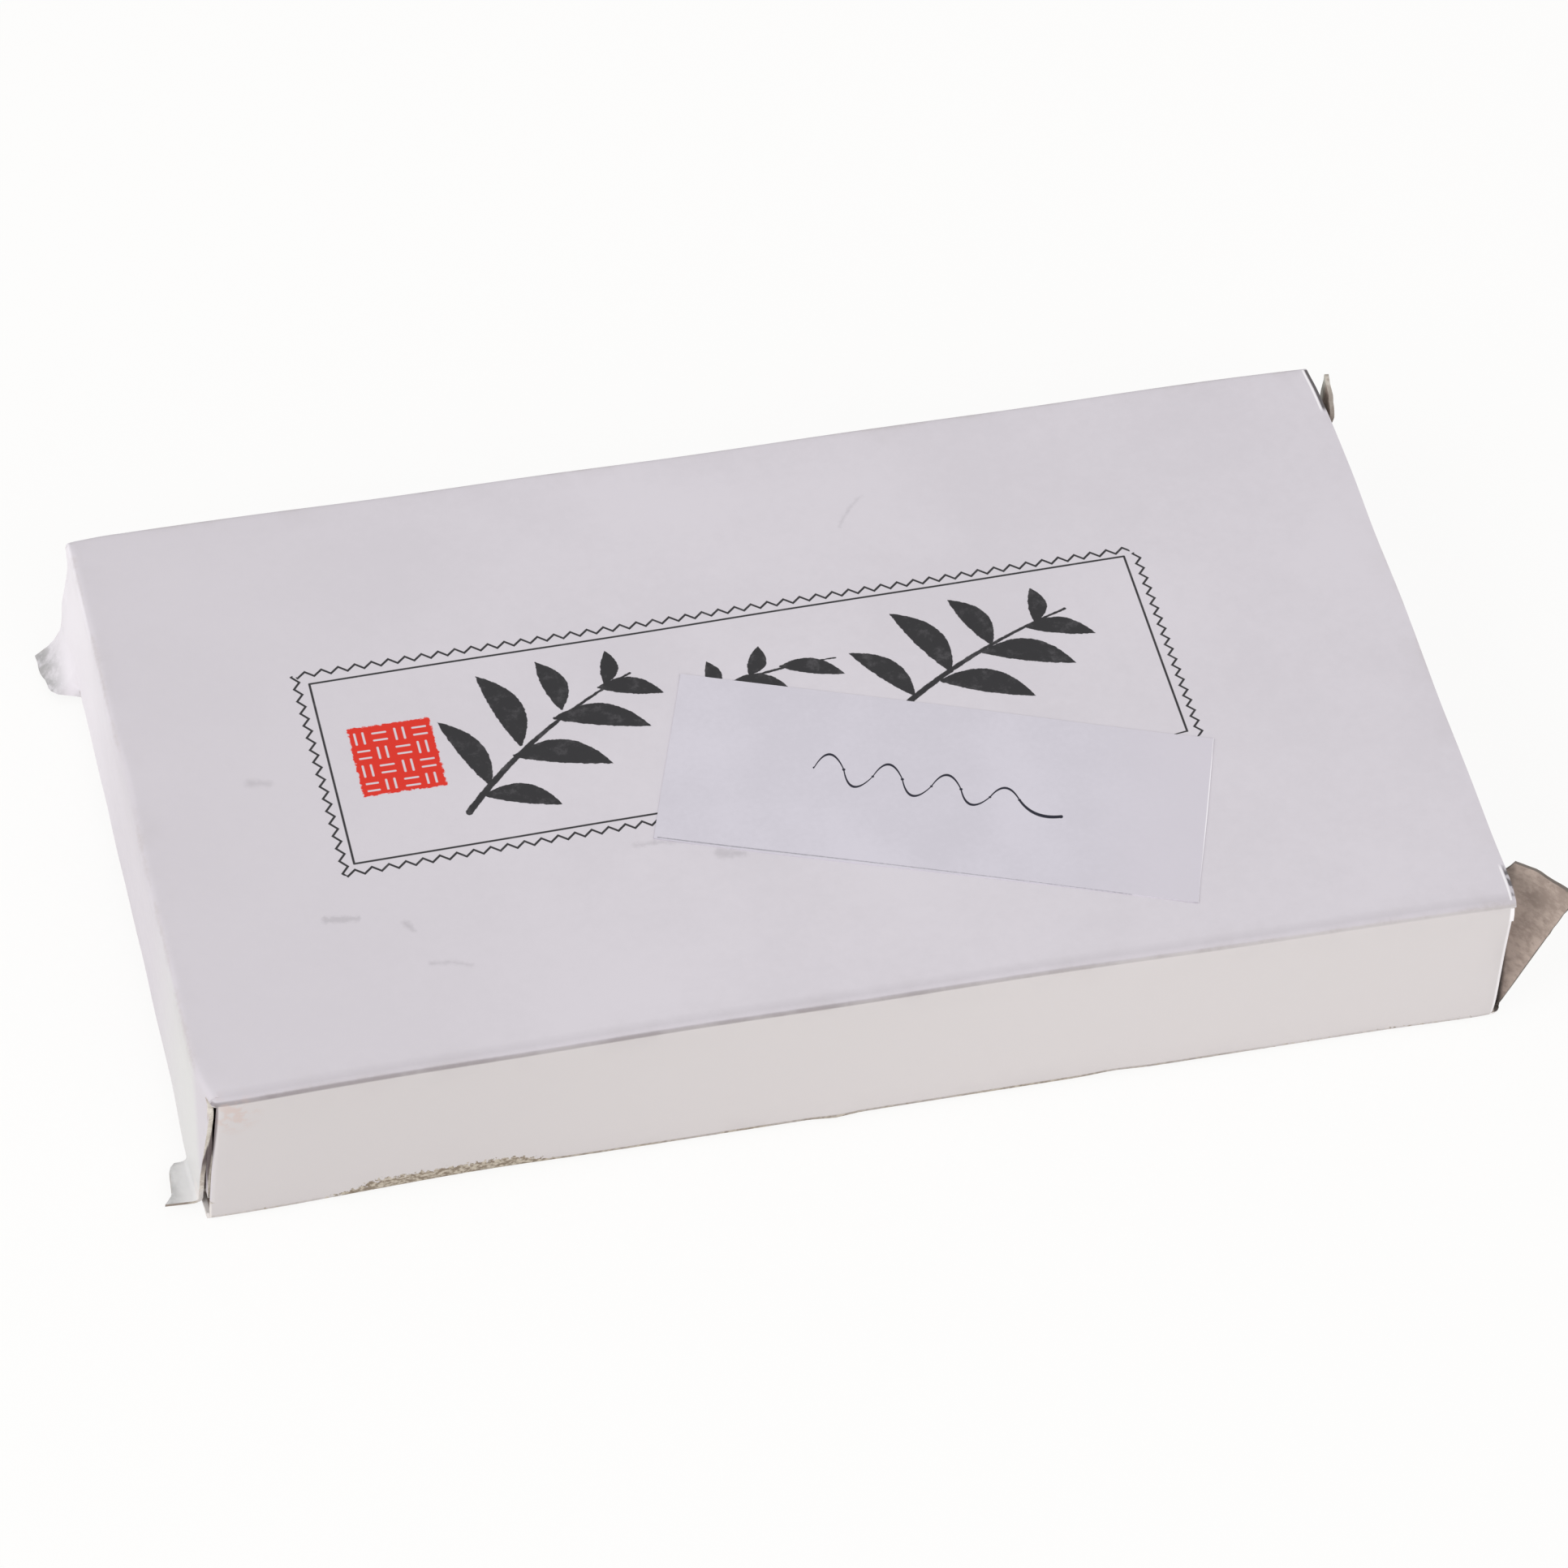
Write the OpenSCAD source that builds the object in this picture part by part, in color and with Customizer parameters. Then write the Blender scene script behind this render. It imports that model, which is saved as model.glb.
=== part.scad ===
// Ink stone in its reverse-tuck folding carton. The origin is on the table under the carton's
// middle, +X runs along the carton to the lid that opens downwards, and +Z points up.

/* [Ink stone] */
// Length of the ink stone
stone_length = 135; // [100:0.5:180]
// Width of the ink stone
stone_width = 75; // [70:0.5:110]
// Thickness of the ink stone
stone_height = 15.7; // [13:0.1:22]
// Corner radius of the slab, seen from above
stone_corner = 3; // [2:0.5:8]
// Bevel round the slab's upper and lower edges
stone_bevel = 0.8; // [0.4:0.1:1.5]
// Width of the raised rim round the basin
rim_width = 5.5; // [3:0.5:10]
// Bevel on the rim's inner edge
rim_bevel = 0.5; // [0.2:0.1:1]
// Corner radius inside the rim
basin_corner = 7; // [3:0.5:12]
// Depth of the grinding hall below the rim, at its dry end
hall_depth = 1.6; // [0.8:0.1:3]
// How much further the hall has dropped where the slope begins
hall_fall = 0.5; // [0:0.1:1.5]
// Depth of the ink well below the rim
well_depth = 8.6; // [5.5:0.1:10]
// Length of the ink well's flat floor
well_length = 15; // [8:0.5:30]
// Length of the slope from the hall down to the well
slope_length = 17; // [8:0.5:30]
// Radius of the curved shore where the hall rolls over into the slope
shore_radius = 90; // [60:1:200]

/* [Carton board] */
// Thickness of the grey-backed carton board
board = 0.5; // [0.3:0.05:0.7]
// Outside radius of the four long creases
crease_radius = 0.8; // [0.8:0.1:1.6]
// Running gap at a hinged crease
crease_gap = 0.05; // [0.03:0.01:0.1]
// Width of the glued flap inside the back panel
glue_width = 12; // [6:0.5:14]
// How far the glued flap stops short of the carton's ends
glue_inset = 5; // [3:0.5:12]

/* [Play] */
// Gap beside the stone, to the front panel
side_play = 2; // [0.8:0.1:4]
// Gap from the stone's end to a dust flap
end_play = 3; // [2.2:0.1:6]
// Gap between the stone and a tuck flap
stone_gap = 0.15; // [0.1:0.01:0.3]
// Free height between a tuck flap and the panel it is tucked behind
tuck_play = 0.7; // [0.7:0.05:1.2]
// Gap between a dust flap and its lid, and between a dust flap and the panel beside it
flap_gap = 0.3; // [0.2:0.05:0.6]
// Gap between a lid and the cut end of the panel above or below it
cut_gap = 0.1; // [0.05:0.01:0.3]

/* [End lids] */
// Width of a lid, along the carton's short side, less than the carton by
lid_short = 1.5; // [1.2:0.1:3]
// How far each lid sits off centre, the right one to the front and the left one to the back
lid_shift = 0.75; // [0:0.05:0.75]
// Length of a tuck flap from its crease
tuck_length = 11; // [8:0.5:11]
// Corner radius at a tuck flap's free edge
tuck_corner = 6; // [2:0.5:7]
// Gap between a tuck flap's side and its lid's side edge, seen along the crease
tuck_side = 1; // [0.5:0.1:3]
// Length of the slit at each end of a tuck crease, which frees the lid's ear
slit_length = 6; // [4:0.1:10]
// Width of the slit
slit_width = 0.3; // [0.2:0.05:0.6]
// How far the right lid's ears stand past the crease
right_ear_rise = 1.8; // [0.5:0.1:2.5]
// How far the left lid's worn ears stand past the crease
left_ear_rise = 0.9; // [0.5:0.1:1]
// How far the right lid's front ear has been bent outwards
right_front_flare = 5.4; // [0.8:0.1:8]
// How far the right lid's back ear has been bent outwards
right_back_flare = 1.4; // [0.8:0.1:8]
// How far the left lid's front ear has been bent outwards
left_front_flare = 3.4; // [0.8:0.1:8]
// How far the left lid's back ear has been bent outwards
left_back_flare = 3.6; // [0.8:0.1:8]

/* [Dust flaps] */
// Length of a dust flap from its crease
dust_reach = 26; // [14:0.5:30]
// How much narrower a dust flap is at its free end, on each side
dust_taper = 2; // [0.5:0.1:4]
// Corner radius at a dust flap's free end
dust_corner = 3; // [1:0.5:4]
// Free height between a dust flap and the tuck flap that passes it
dust_drop = 0.9; // [0.9:0.05:2]

/* [Paper label] */
// Length of the paper label
label_length = 58.5; // [30:0.5:60]
// Width of the paper label
label_width = 23.5; // [12:0.5:24]
// Thickness of the paper label
label_thickness = 0.1; // [0.08:0.01:0.2]
// Place of the label's centre along the carton
label_x = 13.7; // [-15:0.1:15]
// Place of the label's centre across the carton
label_y = -12.8; // [-12.8:0.1:12.8]
// Turn of the label on the top panel
label_turn = -19.8; // [-20:0.1:20]

/* [Hidden] */
$fn = 48;

// Outside of the carton, from the stone outwards
carton_length = stone_length + 2 * (end_play + board + flap_gap + board);
carton_depth = stone_width + 2 * (side_play + board);
carton_height = stone_height + 2 * (stone_gap + board + tuck_play + board);

// Places along X, for the right end
hinge_x = carton_length / 2 - board / 2;
lid_inside_x = carton_length / 2 - board;
cut_x = lid_inside_x - cut_gap;
dust_x = lid_inside_x - flap_gap - board / 2;

// Places along Z, for the right end
hinge_z = board / 2;
tuck_z = carton_height - board - tuck_play - board;
stone_z = board + tuck_play + board + stone_gap;
dust_low = board + flap_gap;
dust_high = tuck_z - dust_drop;

// Lid sizes, with heights measured from the hinge axis
lid_width = carton_depth - lid_short;
lid_foot = board / 2 + crease_gap;
fold_height = tuck_z - hinge_z;
crease_top = fold_height + board;
right_flares = [right_front_flare, right_back_flare];
left_flares = [left_front_flare, left_back_flare];

// How a bent ear curls: 1 is a straight cone, less than 1 bends hardest along its fold
ear_curl = 0.6;
flat_steps = 2;
bent_steps = 6;
crease_steps = 4;
ear_stations = 7;
round_end = 82;

carton_white = [0.87, 0.86, 0.88];
label_white = [0.86, 0.86, 0.91];
slate_black = [0.17, 0.18, 0.19];

// Puts a right-end shape at the left end, where the lid hangs from the top panel
module turned() {
    translate([0, 0, carton_height]) rotate([0, 180, 0]) children();
}

// Mirrors a front shape to the back
module back_side() {
    mirror([0, 1, 0]) children();
}

function mix(a, b, share) = a + (b - a) * share;

// Points of an arc, from one angle to another
function arc(centre, radius, from, to, steps = 8) =
    [for (i = [0 : steps]) centre + radius * [cos(mix(from, to, i / steps)), sin(mix(from, to, i / steps))]];

// A slab with round corners, whose side follows edge, a list of [how far out, height]
module shaped_slab(length, width, corner, edge) {
    last = len(edge) - 1;
    module run(across) {
        polygon(concat(
            [for (p = edge) [across / 2 + p[0], p[1]]],
            [for (i = [last : -1 : 0]) [-across / 2 - edge[i][0], edge[i][1]]]));
    }
    rotate([90, 0, 90]) linear_extrude(length - 2 * corner, center = true) run(width);
    rotate([90, 0, 0]) linear_extrude(width - 2 * corner, center = true) run(length);
    for (x = [-1, 1], y = [-1, 1])
        translate([x * (length / 2 - corner), y * (width / 2 - corner), 0])
            rotate_extrude()
                polygon(concat(
                    [[0, edge[0][1]]],
                    [for (p = edge) [corner + p[0], p[1]]],
                    [[0, edge[last][1]]]));
}

// The space above the basin's floor, revolved about the middle of the curved shore
module above_floor(basin_length) {
    slope_steps = 12;
    fall = well_depth - hall_depth - hall_fall;
    reach = shore_radius + slope_length + well_length + basin_length;
    shore_x = basin_length / 2 - well_length - slope_length - shore_radius;
    slope = [for (i = [0 : slope_steps])
        [shore_radius + slope_length * i / slope_steps,
         stone_height - hall_depth - hall_fall - fall * (1 - cos(180 * i / slope_steps)) / 2]];
    translate([shore_x, 0, 0])
        rotate_extrude($fn = 96)
            polygon(concat(
                [[0, stone_height + 2], [0, stone_height - hall_depth]],
                slope,
                [[reach, stone_height - well_depth], [reach, stone_height + 2]]));
}

module ink_stone() {
    basin_length = stone_length - 2 * rim_width;
    basin_width = stone_width - 2 * rim_width;
    basin_low = stone_height - well_depth - 1;
    color(slate_black)
        translate([0, 0, stone_z])
            difference() {
                shaped_slab(stone_length, stone_width, stone_corner,
                    [[-stone_bevel, 0], [0, stone_bevel],
                     [0, stone_height - stone_bevel], [-stone_bevel, stone_height]]);
                intersection() {
                    shaped_slab(basin_length, basin_width, basin_corner,
                        [[0, basin_low], [0, stone_height - rim_bevel],
                         [rim_bevel, stone_height], [rim_bevel, stone_height + 1]]);
                    above_floor(basin_length);
                }
            }
}

// A broad panel, drawn as the bottom one: its lid hinges on the round nose at its right end
module broad_panel(back_edge, shift) {
    front_edge = -(carton_depth / 2 - crease_radius);
    translate([-cut_x, front_edge, 0]) cube([cut_x + hinge_x, back_edge - front_edge, board]);
    nose_low = max(front_edge, shift - lid_width / 2);
    nose_high = min(back_edge, shift + lid_width / 2);
    translate([hinge_x, nose_low, hinge_z])
        rotate([-90, 0, 0]) cylinder(h = nose_high - nose_low, d = board);
}

module top_panel() {
    color(carton_white) turned() broad_panel(carton_depth / 2 - crease_radius, lid_shift);
}

module bottom_panel() {
    color(carton_white) broad_panel(carton_depth / 2 - board - crease_radius, -lid_shift);
}

// A quarter of a bent crease, its corner pointing down and to the left
module quarter_crease() {
    intersection() {
        difference() {
            circle(crease_radius);
            circle(crease_radius - board);
        }
        translate([-crease_radius, -crease_radius]) square(crease_radius);
    }
}

// Profile of a narrow panel, drawn at the front, from low to high with a crease at one or both ends
module narrow_profile(low_crease) {
    outside = -carton_depth / 2;
    foot = low_crease ? crease_radius : crease_gap;
    translate([outside, foot]) square([board, carton_height - crease_radius - foot]);
    translate([outside + crease_radius, carton_height - crease_radius]) mirror([0, 1]) quarter_crease();
    if (low_crease) translate([outside + crease_radius, crease_radius]) quarter_crease();
}

// A narrow panel, drawn at the front, with a round nose at each end for the dust flaps
module narrow_panel(low_crease) {
    rotate([90, 0, 90]) linear_extrude(2 * dust_x, center = true) narrow_profile(low_crease);
    dust_nose();
    turned() dust_nose();
}

module dust_nose() {
    translate([dust_x, -(carton_depth - board) / 2, dust_low]) cylinder(h = dust_high - dust_low, d = board);
}

module front_panel() {
    color(carton_white) narrow_panel(true);
}

module back_panel() {
    color(carton_white) back_side() narrow_panel(false);
}

// The flap that closes the tube: it bends up from the bottom panel and is glued inside the back panel
module glue_flap() {
    outside = carton_depth / 2 - board;
    half_length = carton_length / 2 - glue_inset;
    slant = glue_width / 3;
    color(carton_white) {
        translate([0, outside, 0]) rotate([90, 0, 0]) linear_extrude(board)
            polygon([[-half_length, crease_radius], [half_length, crease_radius],
                [half_length - slant, glue_width], [slant - half_length, glue_width]]);
        translate([0, outside - crease_radius, crease_radius])
            rotate([90, 0, 90]) linear_extrude(2 * half_length, center = true) mirror([1, 0]) quarter_crease();
    }
}

// A dust flap, drawn at the right front, folded in behind the lid
module dust_flap() {
    axis_y = -(carton_depth - board) / 2;
    root = lid_foot;
    low = dust_low + dust_taper;
    high = dust_high - dust_taper;
    tip = dust_reach - dust_corner;
    translate([dust_x - board / 2, axis_y, 0])
        rotate([90, 0, 90]) linear_extrude(board)
            polygon(concat(
                [[root, dust_low]],
                arc([tip, low + dust_corner], dust_corner, -90, 0),
                arc([tip, high - dust_corner], dust_corner, 0, 90),
                [[root, dust_high]]));
}

module left_front_dust_flap() {
    color(carton_white) turned() dust_flap();
}

module left_back_dust_flap() {
    color(carton_white) turned() back_side() dust_flap();
}

module right_front_dust_flap() {
    color(carton_white) dust_flap();
}

module right_back_dust_flap() {
    color(carton_white) back_side() dust_flap();
}

// Where a lid's slits end, front and back
function slit_ends(shift) = [shift - lid_width / 2 + slit_length, shift + lid_width / 2 - slit_length];

// How far across an ear y lies, from 0 at the slit's inner end to 1 at the lid's side edge
function ear_share(y, shift) =
    let (ends = slit_ends(shift)) max(ends[0] - y, y - ends[1], 0) / slit_length;

// How far out the board is bent, at y and at a height above the hinge: a cone from the lid's foot
function bend_out(y, height, shift, flares) =
    let (share = ear_share(y, shift), flare = y < shift ? flares[0] : flares[1],
        up = height / fold_height, off_fold = 1 - (1 - share) / up)
    share > 0 && off_fold > 0 ? flare * up * pow(off_fold, ear_curl) : 0;

// The middle of the lid's board
function lid_middle(y, height, shift, flares) =
    let (out = bend_out(y, height, shift, flares))
    [hinge_x + out, y, hinge_z + sqrt(height * height - out * out)];

// The direction that the lid's outer face looks in
function lid_normal(y, height, shift, flares) =
    let (step = 0.05,
        along = lid_middle(y + step, height, shift, flares) - lid_middle(y - step, height, shift, flares),
        upward = lid_middle(y, height + step, shift, flares) - lid_middle(y, height - step, shift, flares),
        normal = cross(along, upward))
    normal / norm(normal);

// Heights along one station: flat board up to the ear's fold, then the bent part, then the rise
function station_heights(y, shift, top) =
    let (fold = max(lid_foot + 0.4, (1 - ear_share(y, shift)) * fold_height))
    concat(
        [for (i = [0 : flat_steps]) mix(lid_foot, min(fold, fold_height - 1), i / flat_steps)],
        [for (i = [1 : bent_steps]) mix(min(fold, fold_height - 1), fold_height, i / bent_steps)],
        [for (i = [1 : crease_steps]) mix(fold_height, top, i / crease_steps)]);

// One station of the lid between its slits, where the board rolls over into the tuck flap
function crease_station(y, side) =
    [for (h = station_heights(y, y, crease_top))
        let (over = max(0, (h - fold_height) / board))
        side < 0 ? [lid_inside_x, y, hinge_z + h]
        : over > 0 ? [lid_inside_x + board * cos(round_end * over), y, tuck_z + board * sin(round_end * over)]
        : [lid_inside_x + board, y, hinge_z + h]];

// One station of an ear, on its inner or its outer face
function ear_station(y, side, shift, flares, rise) =
    [for (h = station_heights(y, shift, crease_top + rise))
        lid_middle(y, h, shift, flares) + side * board / 2 * lid_normal(y, h, shift, flares)];

// One face of the lid, as a grid of points from its front edge to its back edge
function lid_face(side, shift, flares, rise) =
    let (ends = slit_ends(shift), front = shift - lid_width / 2, back = shift + lid_width / 2,
        first = ends[0] - slit_width / 2, last = ends[1] + slit_width / 2)
    concat(
        [for (i = [0 : ear_stations]) ear_station(mix(front, first, i / ear_stations), side, shift, flares, rise)],
        [crease_station(ends[0] + slit_width / 2, side), crease_station(ends[1] - slit_width / 2, side)],
        [for (i = [0 : ear_stations]) ear_station(mix(last, back, i / ear_stations), side, shift, flares, rise)]);

// Two triangles across a grid's cell, given its four corners in order
function cell(a, b, c, d) = [[a, b, c], [a, c, d]];

// A closed sheet of board between two grids of points of the same size
module sheet(inside, outside) {
    rows = len(inside);
    columns = len(inside[0]);
    count = rows * columns;
    points = concat([for (row = inside) each row], [for (row = outside) each row]);
    polyhedron(points = points, faces = concat(
        [for (r = [0 : rows - 2], c = [0 : columns - 2]) let (i = r * columns + c)
            each cell(i, i + 1, i + columns + 1, i + columns)],
        [for (r = [0 : rows - 2], c = [0 : columns - 2]) let (i = count + r * columns + c)
            each cell(i + columns, i + columns + 1, i + 1, i)],
        [for (c = [0 : columns - 2]) each cell(c, count + c, count + c + 1, c + 1)],
        [for (c = [0 : columns - 2]) let (i = (rows - 1) * columns + c)
            each cell(i + 1, count + i + 1, count + i, i)],
        [for (r = [0 : rows - 2]) let (i = r * columns)
            each cell(i + columns, count + i + columns, count + i, i)],
        [for (r = [0 : rows - 2]) let (i = r * columns + columns - 1)
            each cell(i, count + i, count + i + columns, i + columns)]));
}

// A lid, drawn at the right end: a flat board with two loose ears bent outwards
module lid(shift, flares, rise) {
    sheet(lid_face(-1, shift, flares, rise), lid_face(1, shift, flares, rise));
}

// A tuck flap, drawn at the right end, narrow at its crease where the ears were slit from it
module tuck_flap(shift, rise) {
    ends = slit_ends(shift);
    low = shift - lid_width / 2 + tuck_side;
    high = shift + lid_width / 2 - tuck_side;
    shoulder = rise + board + slit_width;
    neck = slit_width / 2;
    tip = tuck_length - tuck_corner;
    translate([lid_inside_x, 0, tuck_z])
        mirror([1, 0, 0]) linear_extrude(board)
            polygon(concat(
                [[0, ends[0] + neck], [shoulder, ends[0] + neck], [shoulder, low]],
                arc([tip, low + tuck_corner], tuck_corner, -90, 0),
                arc([tip, high - tuck_corner], tuck_corner, 0, 90),
                [[shoulder, high], [shoulder, ends[1] - neck], [0, ends[1] - neck]]));
}

module right_lid() {
    color(carton_white) lid(-lid_shift, right_flares, right_ear_rise);
}

module right_tuck_flap() {
    color(carton_white) tuck_flap(-lid_shift, right_ear_rise);
}

module left_lid() {
    color(carton_white) turned() lid(lid_shift, left_flares, left_ear_rise);
}

module left_tuck_flap() {
    color(carton_white) turned() tuck_flap(lid_shift, left_ear_rise);
}

module paper_label() {
    color(label_white)
        translate([label_x, label_y, carton_height]) rotate([0, 0, label_turn])
            translate([-label_length / 2, -label_width / 2, 0])
                cube([label_length, label_width, label_thickness]);
}

top_panel();
front_panel();
bottom_panel();
back_panel();
glue_flap();
paper_label();
left_lid();
left_tuck_flap();
right_lid();
right_tuck_flap();
left_front_dust_flap();
left_back_dust_flap();
right_front_dust_flap();
right_back_dust_flap();
ink_stone();
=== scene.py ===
"""Looks of the boxed ink stone: a worn folding carton, its paper label and the stone inside it.

Sizes are in millimetres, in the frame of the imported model, until a mesh is finished.
"""

import functools
import logging
import math
from dataclasses import dataclass, field
from enum import Enum
from typing import Callable, Mapping, Optional, Sequence

import bmesh
import bpy
from mathutils import Matrix, Vector, noise


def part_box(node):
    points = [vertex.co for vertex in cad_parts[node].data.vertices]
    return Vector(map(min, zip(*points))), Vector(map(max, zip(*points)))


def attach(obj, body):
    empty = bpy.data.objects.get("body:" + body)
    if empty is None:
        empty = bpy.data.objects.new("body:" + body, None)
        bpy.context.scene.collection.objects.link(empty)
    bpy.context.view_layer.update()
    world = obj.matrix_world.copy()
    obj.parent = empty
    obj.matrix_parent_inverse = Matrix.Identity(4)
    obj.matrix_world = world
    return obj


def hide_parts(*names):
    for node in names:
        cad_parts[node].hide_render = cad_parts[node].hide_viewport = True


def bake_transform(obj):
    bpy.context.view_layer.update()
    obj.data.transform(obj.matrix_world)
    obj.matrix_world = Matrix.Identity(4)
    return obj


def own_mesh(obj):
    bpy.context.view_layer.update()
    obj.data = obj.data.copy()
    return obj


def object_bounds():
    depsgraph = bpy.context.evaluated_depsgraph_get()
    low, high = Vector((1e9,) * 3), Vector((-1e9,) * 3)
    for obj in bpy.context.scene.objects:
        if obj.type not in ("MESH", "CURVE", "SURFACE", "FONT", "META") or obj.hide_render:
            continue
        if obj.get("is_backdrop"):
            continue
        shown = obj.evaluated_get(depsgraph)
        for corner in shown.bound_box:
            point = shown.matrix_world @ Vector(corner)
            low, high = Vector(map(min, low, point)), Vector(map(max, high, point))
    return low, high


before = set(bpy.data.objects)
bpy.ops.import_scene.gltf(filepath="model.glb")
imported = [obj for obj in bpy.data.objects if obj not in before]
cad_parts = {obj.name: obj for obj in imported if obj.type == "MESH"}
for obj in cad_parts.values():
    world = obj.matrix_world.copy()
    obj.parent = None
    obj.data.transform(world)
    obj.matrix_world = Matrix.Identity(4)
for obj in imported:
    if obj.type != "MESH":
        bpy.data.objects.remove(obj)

MM = 0.001
NEAR = 0.01
MERGED = 1e-3
ON_PLANE = 1e-4
log = logging.getLogger("boxed_ink_stone")

LABEL_CENTRE = (13.7, -12.8)
LABEL_TURN = -19.8

Colour = tuple[float, float, float]
Move = Callable[[Vector], Vector]
Material = bpy.types.Material
Node = bpy.types.Node
Piece = bpy.types.Object
Socket = bpy.types.NodeSocket
Tree = bpy.types.NodeTree


def linear(red: float, green: float, blue: float) -> tuple[float, float, float, float]:
    """Turn a colour as it is seen, from 0 to 255, into the numbers that a shader takes.

    Args:
        red: Red as seen.
        green: Green as seen.
        blue: Blue as seen.

    Returns:
        The colour with its alpha, ready for a socket.
    """
    def curve(level: float) -> float:
        """Undo the display curve for one channel."""
        share = level / 255
        return share / 12.92 if share <= 0.04045 else ((share + 0.055) / 1.055) ** 2.4

    return (curve(red), curve(green), curve(blue), 1.0)


def smooth(low: float, high: float, value: float) -> float:
    """Rise softly from 0 at low to 1 at high.

    Args:
        low: Where the rise begins.
        high: Where it is complete.
        value: The value to place between them.

    Returns:
        A share from 0 to 1.
    """
    share = min(1.0, max(0.0, (value - low) / (high - low)))
    return share * share * (3 - 2 * share)


# Sizes


class End(Enum):
    """The two ends of the carton."""

    RIGHT = "right"
    LEFT = "left"


@dataclass(frozen=True)
class CartonSizes:
    """Sizes of the folded carton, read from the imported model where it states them."""

    length: float
    depth: float
    height: float
    board: float
    bend: float = 0.55
    tuck_bend: float = 0.3
    tuck_play: float = 0.7
    cut_gap: float = 0.1
    dust_inset: float = 0.8
    dust_bend: float = 0.3
    glue_inset: float = 5.0
    glue_width: float = 12.0
    lid_width: float = 78.5
    lid_shift: float = 0.75
    lid_margin: float = 0.3
    slit: float = 6.0
    tear: float = 0.9
    seam: float = 0.05

    @classmethod
    def from_frame(cls) -> "CartonSizes":
        """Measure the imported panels.

        Returns:
            The carton's sizes in millimetres.
        """
        low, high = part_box("bottom_panel")
        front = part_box("front_panel")[0]
        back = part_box("back_panel")[1]
        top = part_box("top_panel")[1]
        return cls(length=2 * high.x / MM, depth=(back.y - front.y) / MM, height=top.z / MM,
                   board=(high.z - low.z) / MM)

    @property
    def lid_x(self) -> float:
        """Where the middle of a closed lid's board stands."""
        return self.length / 2 - self.board / 2

    @property
    def side_y(self) -> float:
        """Where the middle of the back panel's board stands."""
        return self.depth / 2 - self.board / 2

    @property
    def cut_x(self) -> float:
        """Where a broad panel is cut off, beside the lid of the other broad panel."""
        return self.length / 2 - self.board - self.cut_gap

    @property
    def top_z(self) -> float:
        """Where the middle of the top panel's board lies."""
        return self.height - self.board / 2

    @property
    def panel_x(self) -> float:
        """Where the front and back panels end, before the creases of their dust flaps."""
        return self.lid_x - self.dust_inset - self.dust_bend

    @property
    def corner_y(self) -> float:
        """Where the flat of a broad panel ends, before its long crease."""
        return self.side_y - self.bend

    def lid_centre(self, end: End) -> float:
        """Give where the middle of a lid's width lies."""
        return -self.lid_shift if end is End.RIGHT else self.lid_shift

    def slits(self, end: End) -> tuple[float, float]:
        """Give the inner ends of a lid's two slits; the left lid's back one is torn a little further."""
        middle, half = self.lid_centre(end), self.lid_width / 2 - self.slit
        return middle - half, middle + half - (self.tear if end is End.LEFT else 0.0)

    def lid_rows(self, end: End) -> list[tuple[float, float, int]]:
        """Give the stretches of a lid's foot from front to back.

        Args:
            end: The end of the carton.

        Returns:
            Where each stretch begins and ends, and its number of cells.
        """
        first, last = self.slits(end)
        back = min(self.corner_y, self.lid_centre(end) + self.lid_width / 2)
        return [(-self.corner_y, first, 12), (first, last, 56), (last, back, 12)]

    @property
    def tuck_z(self) -> float:
        """Where the middle of the right tuck flap's board lies."""
        return self.top_z - self.board - self.tuck_play


# Wear


@dataclass(frozen=True)
class Dent:
    """A soft dent: how far the board is pushed at its centre, fading out over its reach."""

    centre: Vector
    reach: float
    push: Vector

    def at(self, point: Vector) -> Vector:
        """How far this dent moves a point."""
        return self.push * math.exp(-((point - self.centre).length / self.reach) ** 2)


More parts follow.
